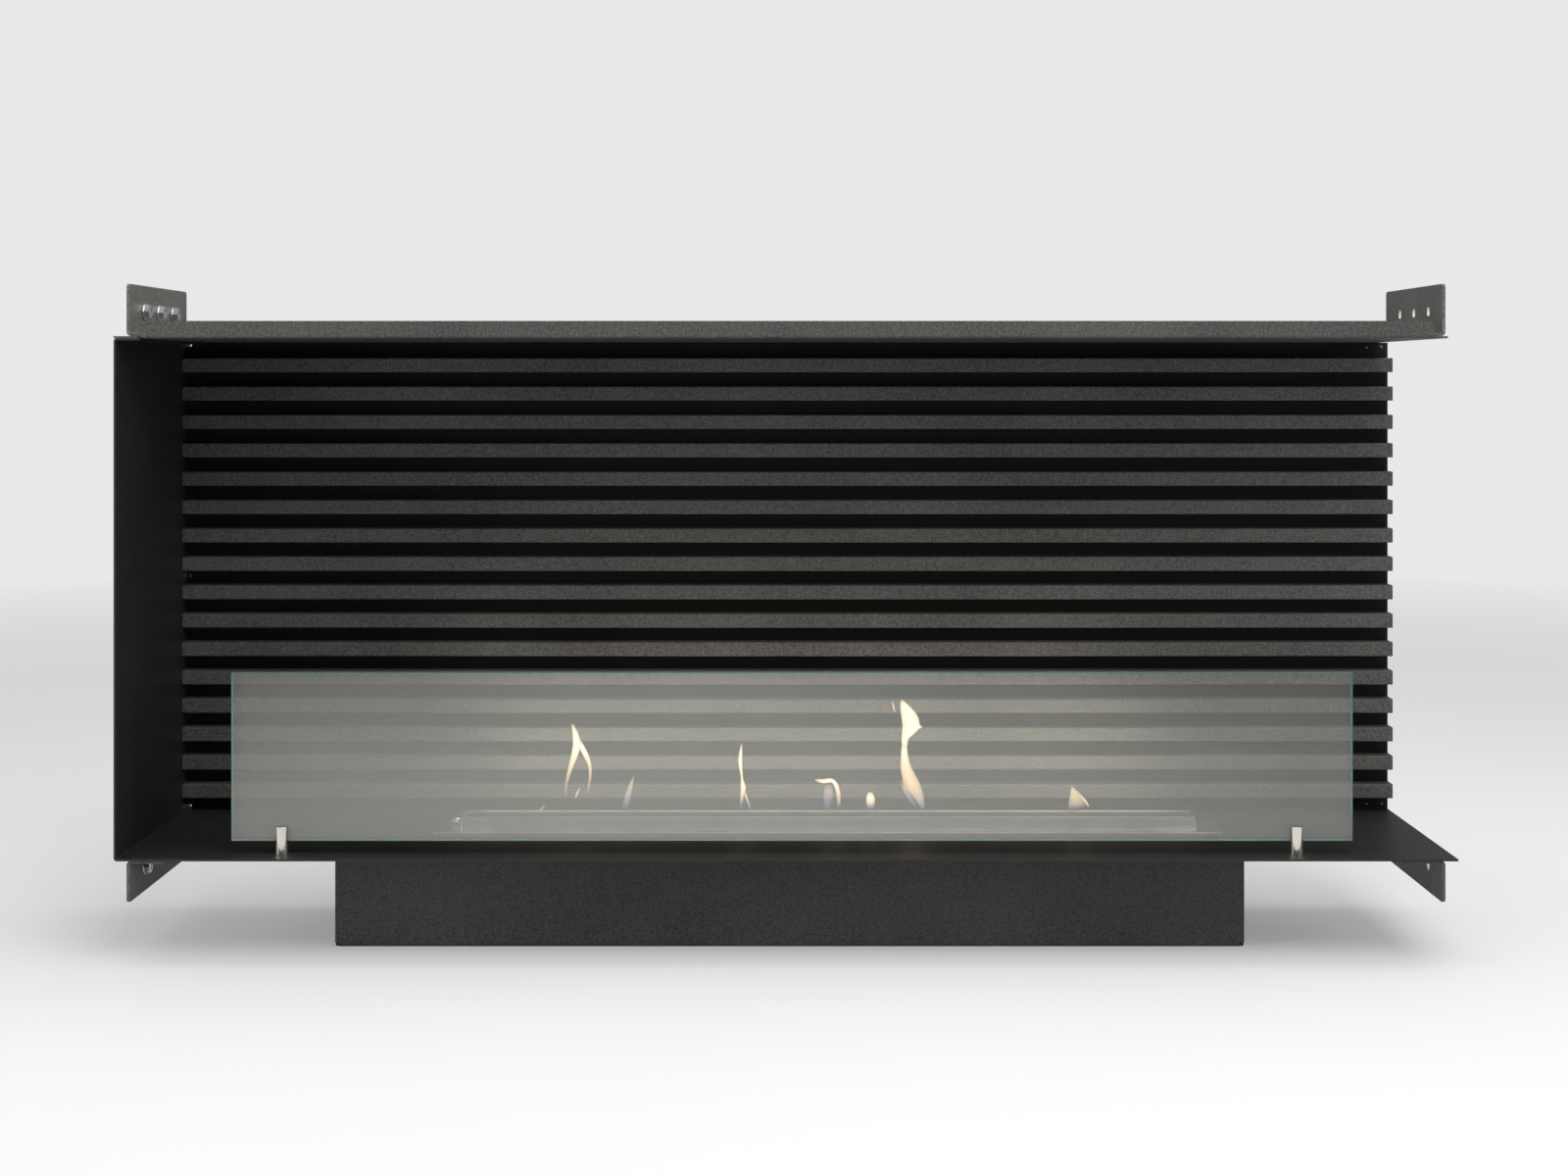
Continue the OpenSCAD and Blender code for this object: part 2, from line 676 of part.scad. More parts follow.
// Panel screws: heads outside, nuts inside the back panel's flanges.
module top_screws() {
    color("#b8b8b4") for (i = [0:screw_count - 1]) {
        rod_z(screw_x(i), screw_y, ceiling_z - sheet_t - screw_nut_h - screw_tip, top_z + eps, screw_d / 2);
        rod_z(screw_x(i), screw_y, top_z, top_z + screw_head_h, screw_head_d / 2);
    }
}
module shelf_screws() {
    color("#b8b8b4") for (i = [0:screw_count - 1]) {
        rod_z(screw_x(i), screw_y, stand_h - eps, shelf_z + sheet_t + screw_nut_h + screw_tip, screw_d / 2);
        rod_z(screw_x(i), screw_y, stand_h - screw_head_h, stand_h, screw_head_d / 2);
    }
}
module panel_nuts() {
    color("#b8b8b4")
        for (i = [0:screw_count - 1], z = [shelf_z + sheet_t, ceiling_z - sheet_t - screw_nut_h])
        difference() {
            hex_z(screw_x(i), screw_y, z, z + screw_nut_h, screw_nut_af);
            rod_z(screw_x(i), screw_y, z - through, z + screw_nut_h + through, screw_d / 2 + screw_gap / 4);
        }
}
module slat_screws() {
    rear = back_y + sheet_t;
    color("#b8b8b4") for (i = [1:slat_count], k = [0:slat_screw_count - 1]) {
        z = slat_z(i) + slat_h / 2;
        rod_y(slat_screw_x(k), back_y - slat_wall - slat_screw_tip, rear + eps, z, slat_screw_d / 2);
        rod_y(slat_screw_x(k), rear, rear + slat_head_h, z, slat_head_d / 2);
    }
}
module corner_rivets() {
    color("#c8c8c4") for (x = rivet_out, z = [shelf_z + rivet_in, ceiling_z - rivet_in]) {
        rod_y(right_x - x, back_y - rivet_head_h, back_y, z, rivet_head_d / 2);
        rod_y(right_x - x, back_y - eps, back_y + sheet_t + rivet_d, z, rivet_d / 2);
    }
}

top_panel();
shelf_side_panel();
back_panel();
for (i = [1:slat_count])
    slat(i);
bracket_upper_left();
bracket_upper_right();
bracket_lower_left();
bracket_lower_right();
wall_bolts();
wall_nuts();
wall_washers();
burner_housing();
housing_studs();
housing_nuts();
fuel_tank();
burner_deck();
flame_collar();
damper();
damper_knob();
damper_strap(burner_x - strap_x - strap_w);  // damper_strap_left
damper_strap(burner_x + strap_x);  // damper_strap_right
for (i = [1:wick_count])
    wick(i);
glass_screen();
post(post_places[0]);  // post_left
post(post_places[1]);  // post_right
liner(post_places[0]);  // liner_left
liner(post_places[1]);  // liner_right
post_screws();
post_washers();
top_screws();
shelf_screws();
panel_nuts();
slat_screws();
corner_rivets();
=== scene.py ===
# %% [markdown]
# # A corner fireplace insert in black sheet steel
# This lesson finishes a fireplace that is built into a wall recess. Its casing is folded from
# sheet steel, open at the front and on the right, with a row of slats across the back. A slot
# burner drops into the shelf and a sheet of glass stands in front of it. The exact shapes come
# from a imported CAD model. Blender adds what CAD leaves plain: soft edges, fasteners with real
# heads, weld beads, glass, flames and the finish of every surface.

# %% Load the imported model
import json
import math

import bmesh
import bpy
from mathutils import Matrix, Vector, noise

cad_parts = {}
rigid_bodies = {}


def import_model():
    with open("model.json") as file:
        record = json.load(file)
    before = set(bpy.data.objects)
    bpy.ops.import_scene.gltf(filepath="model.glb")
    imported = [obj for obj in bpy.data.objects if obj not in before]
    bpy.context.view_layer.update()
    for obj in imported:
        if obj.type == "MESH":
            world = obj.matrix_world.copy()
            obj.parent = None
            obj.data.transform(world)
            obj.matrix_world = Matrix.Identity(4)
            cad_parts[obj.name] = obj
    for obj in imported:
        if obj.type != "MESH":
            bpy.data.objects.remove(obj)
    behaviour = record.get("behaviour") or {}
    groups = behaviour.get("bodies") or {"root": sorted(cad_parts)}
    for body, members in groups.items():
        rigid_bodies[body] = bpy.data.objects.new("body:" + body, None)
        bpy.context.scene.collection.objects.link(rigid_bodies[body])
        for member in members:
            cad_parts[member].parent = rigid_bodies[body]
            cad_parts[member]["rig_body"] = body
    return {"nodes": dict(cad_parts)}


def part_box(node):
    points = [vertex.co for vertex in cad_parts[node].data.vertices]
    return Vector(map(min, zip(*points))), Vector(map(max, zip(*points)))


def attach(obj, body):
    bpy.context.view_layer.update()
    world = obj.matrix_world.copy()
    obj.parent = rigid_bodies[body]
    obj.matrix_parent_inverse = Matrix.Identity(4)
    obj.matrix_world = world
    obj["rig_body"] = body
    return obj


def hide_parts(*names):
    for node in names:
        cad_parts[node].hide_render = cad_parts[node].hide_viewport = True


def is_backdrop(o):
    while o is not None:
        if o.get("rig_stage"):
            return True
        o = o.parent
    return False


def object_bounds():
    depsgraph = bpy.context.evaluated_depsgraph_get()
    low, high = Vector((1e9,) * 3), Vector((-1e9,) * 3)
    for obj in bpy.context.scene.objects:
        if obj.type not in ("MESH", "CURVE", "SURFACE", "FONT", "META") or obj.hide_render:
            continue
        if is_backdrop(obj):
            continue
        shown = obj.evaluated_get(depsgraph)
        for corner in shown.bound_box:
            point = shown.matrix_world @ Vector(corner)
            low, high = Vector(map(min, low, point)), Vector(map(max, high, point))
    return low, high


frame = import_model()
cad_low, cad_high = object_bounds()
nodes = frame["nodes"]
MM = 0.001
print("CAD box in metres:", [round(v, 4) for v in (*cad_low, *cad_high)])

# %% [markdown]
# ## Camera
# A long object looks calm through a long lens with the camera held level. The picture is
# shifted in the lens instead of tilting the camera, so that upright edges stay upright. That is
# what the two small shift values do.

# %% Make the camera
CAMERA_BACK = 2.110
CAMERA_HEIGHT = 0.561
CAMERA_RIGHT = 0.0037
camera_data = bpy.data.cameras.new("camera")
camera_data.lens = 50.9
camera_data.sensor_width = 36
camera_data.shift_x = -0.00375
camera_data.shift_y = -0.1325
camera = bpy.data.objects.new("camera", camera_data)
camera.location = (CAMERA_RIGHT, cad_low.y - CAMERA_BACK, CAMERA_HEIGHT)
camera.rotation_euler = (math.radians(90), 0, 0)
bpy.context.scene.collection.objects.link(camera)
bpy.context.scene.camera = camera
bpy.context.scene.view_settings.view_transform = "Standard"
print("camera stands", round(-camera.location.y, 3), "m in front of the origin")

# %% [markdown]
# ## Building materials with nodes
# Every finish here is procedural. A noise texture that reads Object coordinates stays glued to
# the metal from every side, and its scale counts per metre, so a scale of 900 makes grains of
# about a millimetre. The helpers below add nodes and join them up.


# %% Helpers for materials
def new_material(name):
    """A material with nodes, its shader and its Object coordinates."""
    material = bpy.data.materials.new(name)
    material.use_nodes = True
    tree = material.node_tree
    shader = tree.nodes["Principled BSDF"]
    coords = tree.nodes.new("ShaderNodeTexCoord").outputs["Object"]
    return material, tree, shader, coords


def add_noise(tree, coords, scale, detail=2.0, stretch=(1, 1, 1)):
    """A noise pattern; stretch squeezes it along an axis, as brushing does."""
    mapping = tree.nodes.new("ShaderNodeMapping")
    mapping.inputs["Scale"].default_value = stretch
    tree.links.new(coords, mapping.inputs["Vector"])
    texture = tree.nodes.new("ShaderNodeTexNoise")
    texture.inputs["Scale"].default_value = scale
    texture.inputs["Detail"].default_value = detail
    tree.links.new(mapping.outputs["Vector"], texture.inputs["Vector"])
    return texture.outputs["Fac"]


def add_range(tree, value, low, high, from_low=0.3, from_high=0.7):
    """Spread a pattern's values between low and high."""
    node = tree.nodes.new("ShaderNodeMapRange")
    node.inputs["From Min"].default_value = from_low
    node.inputs["From Max"].default_value = from_high
    node.inputs["To Min"].default_value = low
    node.inputs["To Max"].default_value = high
    tree.links.new(value, node.inputs["Value"])
    return node.outputs["Result"]


def add_colours(tree, value, first, second):
    """A colour that goes from first to second as the value goes from 0 to 1."""
    node = tree.nodes.new("ShaderNodeMix")
    node.data_type = "RGBA"
    node.inputs["A"].default_value = (*first, 1)
    node.inputs["B"].default_value = (*second, 1)
    tree.links.new(value, node.inputs["Factor"])
    return node.outputs["Result"]


def add_bump(tree, height, shader, strength, depth):
    """Raise the surface by a pattern. depth is the height of the relief in metres."""
    node = tree.nodes.new("ShaderNodeBump")
    node.inputs["Strength"].default_value = strength
    node.inputs["Distance"].default_value = depth
    tree.links.new(height, node.inputs["Height"])
    tree.links.new(node.outputs["Normal"], shader.inputs["Normal"])


print("material helpers ready")

# %% [markdown]
# ## Black powder coat
# The casing is coated with a fine-textured black powder. Under a lens it is a skin of tiny
# rounded grains, so it scatters light and never mirrors. A flat black would look like a hole.
# Three patterns build it: grains for the bump, a speckle for the sheen, and a slow cloud for
# the slightly uneven thickness of the coat.


# %% Powder coat
def powder_coat(name, tone, sheen, gloss=0.38):
    """Black powder coat. tone is its brightness and sheen is how rough it is on average."""
    material, tree, shader, coords = new_material(name)
    grain = add_noise(tree, coords, 850, 3)
    cloud = add_noise(tree, coords, 7, 3)
    speckle = add_noise(tree, coords, 520, 5)
    dark = (tone * 0.48, tone * 0.47, tone * 0.44)
    light = (tone * 1.85, tone * 1.83, tone * 1.70)
    blend = tree.nodes.new("ShaderNodeMath")
    blend.operation = "MULTIPLY_ADD"
    blend.inputs[1].default_value = 0.7
    tree.links.new(add_range(tree, speckle, 0, 1, 0.38, 0.62), blend.inputs[0])
    tree.links.new(add_range(tree, cloud, 0, 0.3), blend.inputs[2])
    colours = add_colours(tree, blend.outputs["Value"], dark, light)
    tree.links.new(colours, shader.inputs["Base Color"])
    tree.links.new(add_range(tree, speckle, sheen - 0.07, sheen + 0.07), shader.inputs["Roughness"])
    shader.inputs["Specular IOR Level"].default_value = gloss
    add_bump(tree, grain, shader, 0.35, 0.12 * MM)
    return material


# One black coat in several tones. The differences between them are painted light and shade: lighter
# copies for parts that face the light, darker ones for parts in shade.
casing_paint = powder_coat("casing_powder_coat", 0.014, 0.50)
# Painted light: the top panel, which faces the light, is given a lighter copy of the coat.
lit_top_paint = powder_coat("top_powder_coat_painted_light", 0.062, 0.50)
# Painted shade: the back panel's face, in shade behind the slats, is darkened almost to black.
shaded_back_paint = powder_coat("back_powder_coat_painted_shade", 0.005, 0.68, 0.2)
rear_paint = powder_coat("rear_powder_coat", 0.026, 0.52)
slat_paint = powder_coat("slat_powder_coat", 0.058, 0.52)
# Painted light: the upper brackets, out in the light, get the lightest copy of the coat.
bracket_paint = powder_coat("bracket_powder_coat", 0.105, 0.50)
# Painted shade: the lower brackets get a darker copy of the coat than the upper ones.
shaded_low_bracket_paint = powder_coat("low_bracket_powder_coat_painted_shade", 0.060, 0.50)
housing_paint = powder_coat("housing_powder_coat", 0.038, 0.52)
# A much lighter coat for the rounded edges: partly a coat rubbed thin, partly a painted highlight
# along each edge.
thin_coat_and_highlight_paint = powder_coat("thin_coat_and_highlight_powder_coat", 0.12, 0.40)
print("nine shades of powder coat")

# %% [markdown]
# ## Bare metals
# The burner is brushed stainless steel: long scratches in one direction. Noise that changes
# slowly along X and fast across it draws them. Zinc-plated fasteners are bright but slightly
# cloudy, the corner rivets are blackened, and the glass's two posts are polished, with fine
# streaks along their length.


# %% Metals
def brushed_steel(name, tone, stretch, low=0.22, high=0.42):
    """Metal with scratches along the axis whose stretch is small."""
    material, tree, shader, coords = new_material(name)
    scratches = add_noise(tree, coords, 1, 3, stretch)
    stain = add_noise(tree, coords, 18, 3)
    bright = tuple(min(1.0, c * 1.12) for c in tone)
    dull = tuple(c * 0.82 for c in tone)
    colours = add_colours(tree, add_range(tree, stain, 0, 1), dull, bright)
    tree.links.new(colours, shader.inputs["Base Color"])
    tree.links.new(add_range(tree, scratches, low, high), shader.inputs["Roughness"])
    shader.inputs["Metallic"].default_value = 1
    add_bump(tree, scratches, shader, 0.12, 0.04 * MM)
    return material


burner_steel = brushed_steel("burner_steel", (0.56, 0.55, 0.52), (5, 520, 520), 0.26, 0.38)
knob_steel = brushed_steel("knob_steel", (0.66, 0.65, 0.62), (300, 300, 3000), 0.18, 0.3)
post_steel = brushed_steel("post_steel", (0.80, 0.77, 0.70), (900, 900, 8), 0.10, 0.24)
zinc = brushed_steel("zinc_plate", (0.70, 0.71, 0.72), (600, 600, 600), 0.13, 0.28)
dark_steel = brushed_steel("blackened_steel", (0.10, 0.10, 0.10), (600, 600, 600), 0.25, 0.4)
print("five metals")

# %% [markdown]
# ## Rubber, ceramic wool, glass and bare steel
# Silicone is matt and slightly dusty. Ceramic wool is a pale tangle of fibres. The glass is a
# flat pane, so what stands behind it isn't bent, and plain transparency shows it with less grain
# than true refraction does. It carries a pale veil, denser low down and a little left of the
# middle, and it mirrors more at a slant, as the fifth power of how far the face turns away. The
# Fresnel node isn't used, because on the pane's rear face it takes the light to be leaving solid
# glass and turns the pane opaque at a slant. The ground edges look teal because there one looks
# along the sheet, through far more glass. Bare steel is for the walls of holes that are kept
# clear of the coating.


# %% Other finishes
def rubber_finish():
    """Soft black silicone."""
    material, tree, shader, coords = new_material("silicone")
    dust = add_noise(tree, coords, 300, 4)
    colours = add_colours(tree, dust, (0.012, 0.012, 0.012), (0.05, 0.05, 0.05))
    tree.links.new(colours, shader.inputs["Base Color"])
    tree.links.new(add_range(tree, dust, 0.55, 0.8), shader.inputs["Roughness"])
    add_bump(tree, dust, shader, 0.2, 0.05 * MM)
    return material


def wool_finish():
    """Pale ceramic fibre, darker where fuel and soot have soaked in."""
    material, tree, shader, coords = new_material("ceramic_wool")
    fibre = add_noise(tree, coords, 1, 5, (500, 900, 900))
    soot = add_noise(tree, coords, 30, 3)
    colours = add_colours(tree, add_range(tree, soot, 0, 1), (0.82, 0.78, 0.70), (0.55, 0.51, 0.46))
    tree.links.new(colours, shader.inputs["Base Color"])
    shader.inputs["Roughness"].default_value = 0.95
    shader.inputs["Sheen Weight"].default_value = 0.3
    add_bump(tree, fibre, shader, 0.9, 0.5 * MM)
    return material


SMEAR = 0.008
VEIL_HEIGHTS = (0.117, 0.28)
VEIL_CENTRE = -0.1
VEIL_SPREAD = (0.1, 0.6)


def pane_finish(veil, veil_low, veil_middle):
    """A clear pane under a pale veil. veil is how much of it the veil hides; low down and near the
    middle more.
    """
    material, tree, shader, coords = new_material("screen_glass")
    smear = add_range(tree, add_noise(tree, coords, 7, 4), veil - SMEAR, veil + SMEAR)
    axes = tree.nodes.new("ShaderNodeSeparateXYZ")
    tree.links.new(coords, axes.inputs["Vector"])
    low = add_range(tree, axes.outputs["Z"], veil_low, 0, *VEIL_HEIGHTS)
    offset = tree.nodes.new("ShaderNodeMath")
    offset.operation = "ABSOLUTE"
    centred = tree.nodes.new("ShaderNodeMath")
    centred.inputs[1].default_value = -VEIL_CENTRE
    tree.links.new(axes.outputs["X"], centred.inputs[0])
    tree.links.new(centred.outputs["Value"], offset.inputs[0])
    middle = add_range(tree, offset.outputs["Value"], veil_middle, 0, *VEIL_SPREAD)
    slant = tree.nodes.new("ShaderNodeLayerWeight")
    mirror = tree.nodes.new("ShaderNodeMath")
    mirror.operation = "POWER"
    mirror.inputs[1].default_value = 5
    tree.links.new(slant.outputs["Facing"], mirror.inputs[0])
    total = smear
    for share in (low, middle, mirror.outputs["Value"]):
        added = tree.nodes.new("ShaderNodeMath")
        added.use_clamp = True
        tree.links.new(total, added.inputs[0])
        tree.links.new(share, added.inputs[1])
        total = added.outputs["Value"]
    tree.links.new(total, shader.inputs["Alpha"])
    shader.inputs["Base Color"].default_value = (0.74, 0.745, 0.68, 1)
    shader.inputs["Roughness"].default_value = 0.03
    shader.inputs["IOR"].default_value = 1.52
    shader.inputs["Specular IOR Level"].default_value = 1
    return material


def edge_finish():
    """The ground edge of a sheet of glass: green-blue and frosted."""
    material, tree, shader, coords = new_material("ground_glass_edge")
    frost = add_noise(tree, coords, 700, 3)
    colours = add_colours(tree, frost, (0.07, 0.24, 0.23), (0.16, 0.40, 0.37))
    tree.links.new(colours, shader.inputs["Base Color"])
    tree.links.new(add_range(tree, frost, 0.25, 0.45), shader.inputs["Roughness"])
    shader.inputs["Transmission Weight"].default_value = 0.4
    shader.inputs["IOR"].default_value = 1.52
    return material


def bare_finish():
    """Pale bare steel, slightly stained."""
    material, tree, shader, coords = new_material("bare_steel")
    stain = add_noise(tree, coords, 400, 3)
    colours = add_colours(tree, stain, (0.84, 0.81, 0.72), (0.95, 0.93, 0.85))
    tree.links.new(colours, shader.inputs["Base Color"])
    tree.links.new(add_range(tree, stain, 0.35, 0.55), shader.inputs["Roughness"])
    add_bump(tree, stain, shader, 0.2, 0.05 * MM)
    return material


silicone = rubber_finish()
bare_steel = bare_finish()
ceramic_wool = wool_finish()
clear_glass = pane_finish(0.058, 0.12, 0.085)
edge_glass = edge_finish()
print("rubber, wool, bare steel and glass")

# %% [markdown]
# ## Finish the CAD pieces
# A CAD edge is a perfect knife edge and catches no light. Folded and laser-cut sheet has a
# small radius that draws a thin bright line along every edge. The meshes come in as loose
# triangles, so each piece is copied, its doubles are merged, flat neighbours are joined into
# whole faces, and then a bevel rounds what is left. The rounded strips can take a lighter finish
# of their own, partly where coating has rubbed thin and partly a painted highlight along the
# edge. Weighted normals keep the large faces flat in the light, and the copy then stands for the
# CAD piece.


# %% Helpers for pieces
MERGE = 0.002 * MM
SHARP_ANGLE = 50
REAR_FACING = 0.5


def finish_piece(mesh, name, materials, body, replaces=(), angle=35):
    """Turn a bmesh into a finished object that rides on a body and may replace CAD nodes."""
    data = bpy.data.meshes.new(name)
    mesh.to_mesh(data)
    mesh.free()
    for material in materials:
        data.materials.append(material)
    data.shade_smooth()
    data.set_sharp_from_angle(angle=math.radians(angle))
    piece = bpy.data.objects.new(name, data)
    bpy.context.scene.collection.objects.link(piece)
    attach(piece, body)
    if replaces:
        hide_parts(*replaces)
    return piece


def soften(node, radius, material, segments=2, outside=None, rim=None):
    """Replace a CAD node by a copy with rounded edges. outside is a finish for its rear faces
    and rim one for the rounded edges themselves."""
    source = nodes[node]
    mesh = bmesh.new()
    mesh.from_mesh(source.data)
    bmesh.ops.remove_doubles(mesh, verts=mesh.verts, dist=MERGE)
    bmesh.ops.dissolve_limit(mesh, angle_limit=math.radians(1), verts=mesh.verts, edges=mesh.edges)
    sharp = [edge for edge in mesh.edges
             if edge.is_manifold and edge.calc_face_angle(0) > math.radians(SHARP_ANGLE)]
    rounded = bmesh.ops.bevel(mesh, geom=sharp, offset=radius, offset_type="OFFSET",
                              segments=segments, affect="EDGES", profile=0.5, material=-1,
                              clamp_overlap=True)["faces"]
    mesh.normal_update()
    for face in mesh.faces:
        face.material_index = 1 if outside and face.normal.y > REAR_FACING else 0
    for face in rounded if rim else []:
        face.material_index = 2
    finishes = [material, outside or material, rim or material]
    piece = finish_piece(mesh, node + "_finished", finishes, source["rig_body"], [node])
    flat = piece.modifiers.new("flat_faces", "WEIGHTED_NORMAL")
    flat.weight = 100
    flat.keep_sharp = True
    return piece


# %% [markdown]
# ## Sheet steel and slats
# The folded sheets and the slats all wear the same black powder coat, but they don't look the same.
# Each gets its own brightness of that coat, and the differences are painted light and shade: the
# top panel and the brackets face the light and are painted lighter, the lower brackets are painted
# darker, and the back panel is painted almost black where it sits in shade behind its slats. The
# rear of the back panel is seen only from behind and has a tone of its own.

# %% Round the edges of the sheet steel
SHEET_EDGE = 0.35 * MM
SLAT_EDGE = 0.3 * MM
painted = {
    "top_panel": lit_top_paint, "shelf_side_panel": casing_paint, "back_panel": shaded_back_paint,
    "burner_housing": housing_paint,
    "bracket_upper_left": bracket_paint, "bracket_upper_right": bracket_paint,
    "bracket_lower_left": shaded_low_bracket_paint, "bracket_lower_right": shaded_low_bracket_paint,
}
for node, material in painted.items():
    outside = rear_paint if node == "back_panel" else None
    piece = soften(node, SHEET_EDGE, material, outside=outside, rim=thin_coat_and_highlight_paint)
    print(node, "has", len(piece.data.polygons), "faces")
slats = sorted(name for name in nodes if name.startswith("slat_") and name != "slat_screws")
for node in slats:
    soften(node, SLAT_EDGE, slat_paint, rim=thin_coat_and_highlight_paint)
print(len(slats), "slats")

# %% [markdown]
# ## Bare bores
# The holes for the wall bolts are kept clear of powder, so that a bolt still fits. Pale bare
# steel shows on their walls, and from the front each hole of a right-hand bracket is a thin
# bright sliver. The wall's faces are found by their distance from the hole's axis.

# %% Bare walls in the right brackets' holes
HOLE_R = 4.5
HOLE_MARGIN = 0.1
HOLE_PLACES = (-82.5, -32.5, 17.5)
HOLE_HEIGHTS = {"bracket_upper_right": 628, "bracket_lower_right": 88}
for node, height in HOLE_HEIGHTS.items():
    data = bpy.data.objects[node + "_finished"].data
    data.materials.append(bare_steel)
    bare = 0
    for face in data.polygons:
        spot = face.center.yz / MM
        away = min((spot - Vector((place, height))).length for place in HOLE_PLACES)
        if away < HOLE_R + HOLE_MARGIN and abs(face.normal.x) < 0.5:
            face.material_index = len(data.materials) - 1
            bare += 1
    print(node, "has", bare, "bare faces")

# %% [markdown]
# ## Burner, posts and small turned parts
# The burner's parts are cut from brushed sheet and have finer edges than the casing. The posts
# are turned from rod, so their ends are rounded more generously. Studs and washers are plain
# enough to need only a soft edge.

# %% Round the edges of the burner, the posts, the liners and the studs
BURNER_EDGE = 0.25 * MM
POST_EDGE = 0.5 * MM
FINE_EDGE = 0.15 * MM
for node in ("fuel_tank", "burner_deck", "flame_collar",
             "damper", "damper_strap_left", "damper_strap_right"):
    soften(node, BURNER_EDGE, burner_steel)
for node in ("post_left", "post_right"):
    soften(node, POST_EDGE, post_steel, 3)
for node in ("liner_left", "liner_right"):
    soften(node, FINE_EDGE, silicone)
for node in ("housing_studs", "post_washers"):
    soften(node, FINE_EDGE, zinc)
print("burner, posts, liners, studs and washers")

# %% [markdown]
# ## Fasteners from rings
# Bolts, nuts, washers and rivets are all turned or formed around an axis. Each one can be told
# as a list of rings from one end to the other, and bridging neighbouring rings makes its skin.
# A ring can also be a hexagon. On a real nut the chamfer is a cone, so it cuts the corners
# lower than the flats and leaves curved edges. Dropping each corner by its distance from the
# axis gives the same curves.


# %% Helpers for turned pieces
def shells(node):
    """The box of each separate shell in a CAD node, such as one screw out of many."""
    mesh = bmesh.new()
    mesh.from_mesh(nodes[node].data)
    bmesh.ops.remove_doubles(mesh, verts=mesh.verts, dist=MERGE)
    mesh.verts.ensure_lookup_table()
    left, boxes = set(mesh.verts), []
    while left:
        stack, shell = [left.pop()], []
        while stack:
            vert = stack.pop()
            shell.append(vert.co.copy())
            for edge in vert.link_edges:
                other = edge.other_vert(vert)
                if other in left:
                    left.remove(other)
                    stack.append(other)
        boxes.append((Vector([min(c[i] for c in shell) for i in range(3)]),
                      Vector([max(c[i] for c in shell) for i in range(3)])))
    mesh.free()
    return sorted(boxes, key=lambda box: tuple(round(c, 5) for c in box[0]))


def add_ring(mesh, radius, height, corners=0, slope=0.0, segments=36):
    """A ring of edges. With corners it is a polygon whose flats lie radius from the axis."""
    made = bmesh.ops.create_circle(mesh, cap_ends=False, radius=radius, segments=segments)
    for vert in made["verts"]:
        if corners:
            half_turn = math.pi / corners
            angle = math.atan2(vert.co.y, vert.co.x) % (2 * half_turn) - half_turn
            vert.co = vert.co / math.cos(angle)
        vert.co.z = height - slope * (vert.co.length - radius)
    return made["verts"], list({edge for vert in made["verts"] for edge in vert.link_edges})


def add_turned(mesh, rings, place, axis, closed=False, segments=36):
    """Bridge a list of rings into a skin and stand it at place, along axis. Sizes are in mm."""
    verts, loops = [], []
    for radius, height, *shape in rings:
        ring_verts, edges = add_ring(mesh, radius * MM, height * MM, *shape, segments=segments)
        verts += ring_verts
        loops.append(edges)
    pairs = list(zip(loops, loops[1:])) + ([(loops[-1], loops[0])] if closed else [])
    for first, second in pairs:
        bmesh.ops.bridge_loops(mesh, edges=first + second)
    if not closed:
        for edges in (loops[0], loops[-1]):
            bmesh.ops.contextual_create(mesh, geom=edges)
    turn = Vector(axis).to_track_quat("Z", "Y").to_matrix().to_4x4()
    bmesh.ops.transform(mesh, matrix=Matrix.Translation(place) @ turn, verts=verts)


def finish_turned(mesh, name, material, body, node):
    """Close a set of turned shells with their faces outwards and let them stand for a node."""
    bmesh.ops.recalc_face_normals(mesh, faces=mesh.faces)
    return finish_piece(mesh, name, [material], body, [node], 28)


print("upper and lower screws:", len(shells("top_screws")), len(shells("shelf_screws")))

# %% [markdown]
# ## Wall bolts
# The left brackets are bolted to the wall of the recess with bright zinc-plated hexagon bolts.
# Each one has a washer on both sides of the bracket and a nut behind. A real bolt shows a
# shallow dimple in its head, a chamfer round its corners and the thread's end past the nut.

# %% Hexagon bolts, nuts and washers
BOLT_R = 4.0
FLATS = 6.5
HEAD_H = 5.3
CHAMFER = 0.577
FACE = 0.94
EDGE = 0.25
THREAD_PITCH = 1.25
THREAD_TURNS = 6
THREAD_DEPTH = 0.6
NUT_BORE = 4.05
WASHER_BORE = 4.3


def nut_rings(bore_r, mouth_r, sink, flats, edge, height):
    """The rings of a hexagon nut, from its bore round its outside and back. Sizes are in mm."""
    return [(bore_r, sink), (mouth_r, 0), (flats * FACE, 0), (flats, edge, 6, -CHAMFER),
            (flats, height - edge, 6, CHAMFER), (flats * FACE, height),
            (mouth_r, height), (bore_r, height - sink)]


mesh = bmesh.new()
for low, high in shells("wall_bolts"):
    shank = (high.x - low.x) / MM - HEAD_H
    seat = Vector((high.x - HEAD_H * MM, (low.y + high.y) / 2, (low.z + high.z) / 2))
    rings = [(BOLT_R - 1.0, -shank), (BOLT_R - 0.2, -shank + 0.7)]
    for turn in range(THREAD_TURNS):
        base = -shank + 0.9 + turn * THREAD_PITCH
        rings += [(BOLT_R, base + 0.15), (BOLT_R - THREAD_DEPTH, base + 0.75), (BOLT_R, base + 1.2)]
    rings += [(BOLT_R, 0), (FLATS, 0, 6), (FLATS, HEAD_H - EDGE, 6, CHAMFER),
              (FLATS * FACE, HEAD_H), (FLATS * 0.62, HEAD_H), (FLATS * 0.5, HEAD_H - 0.5)]
    add_turned(mesh, rings, seat, (1, 0, 0))
finish_turned(mesh, "hexagon_bolts", zinc, "casing", "wall_bolts")

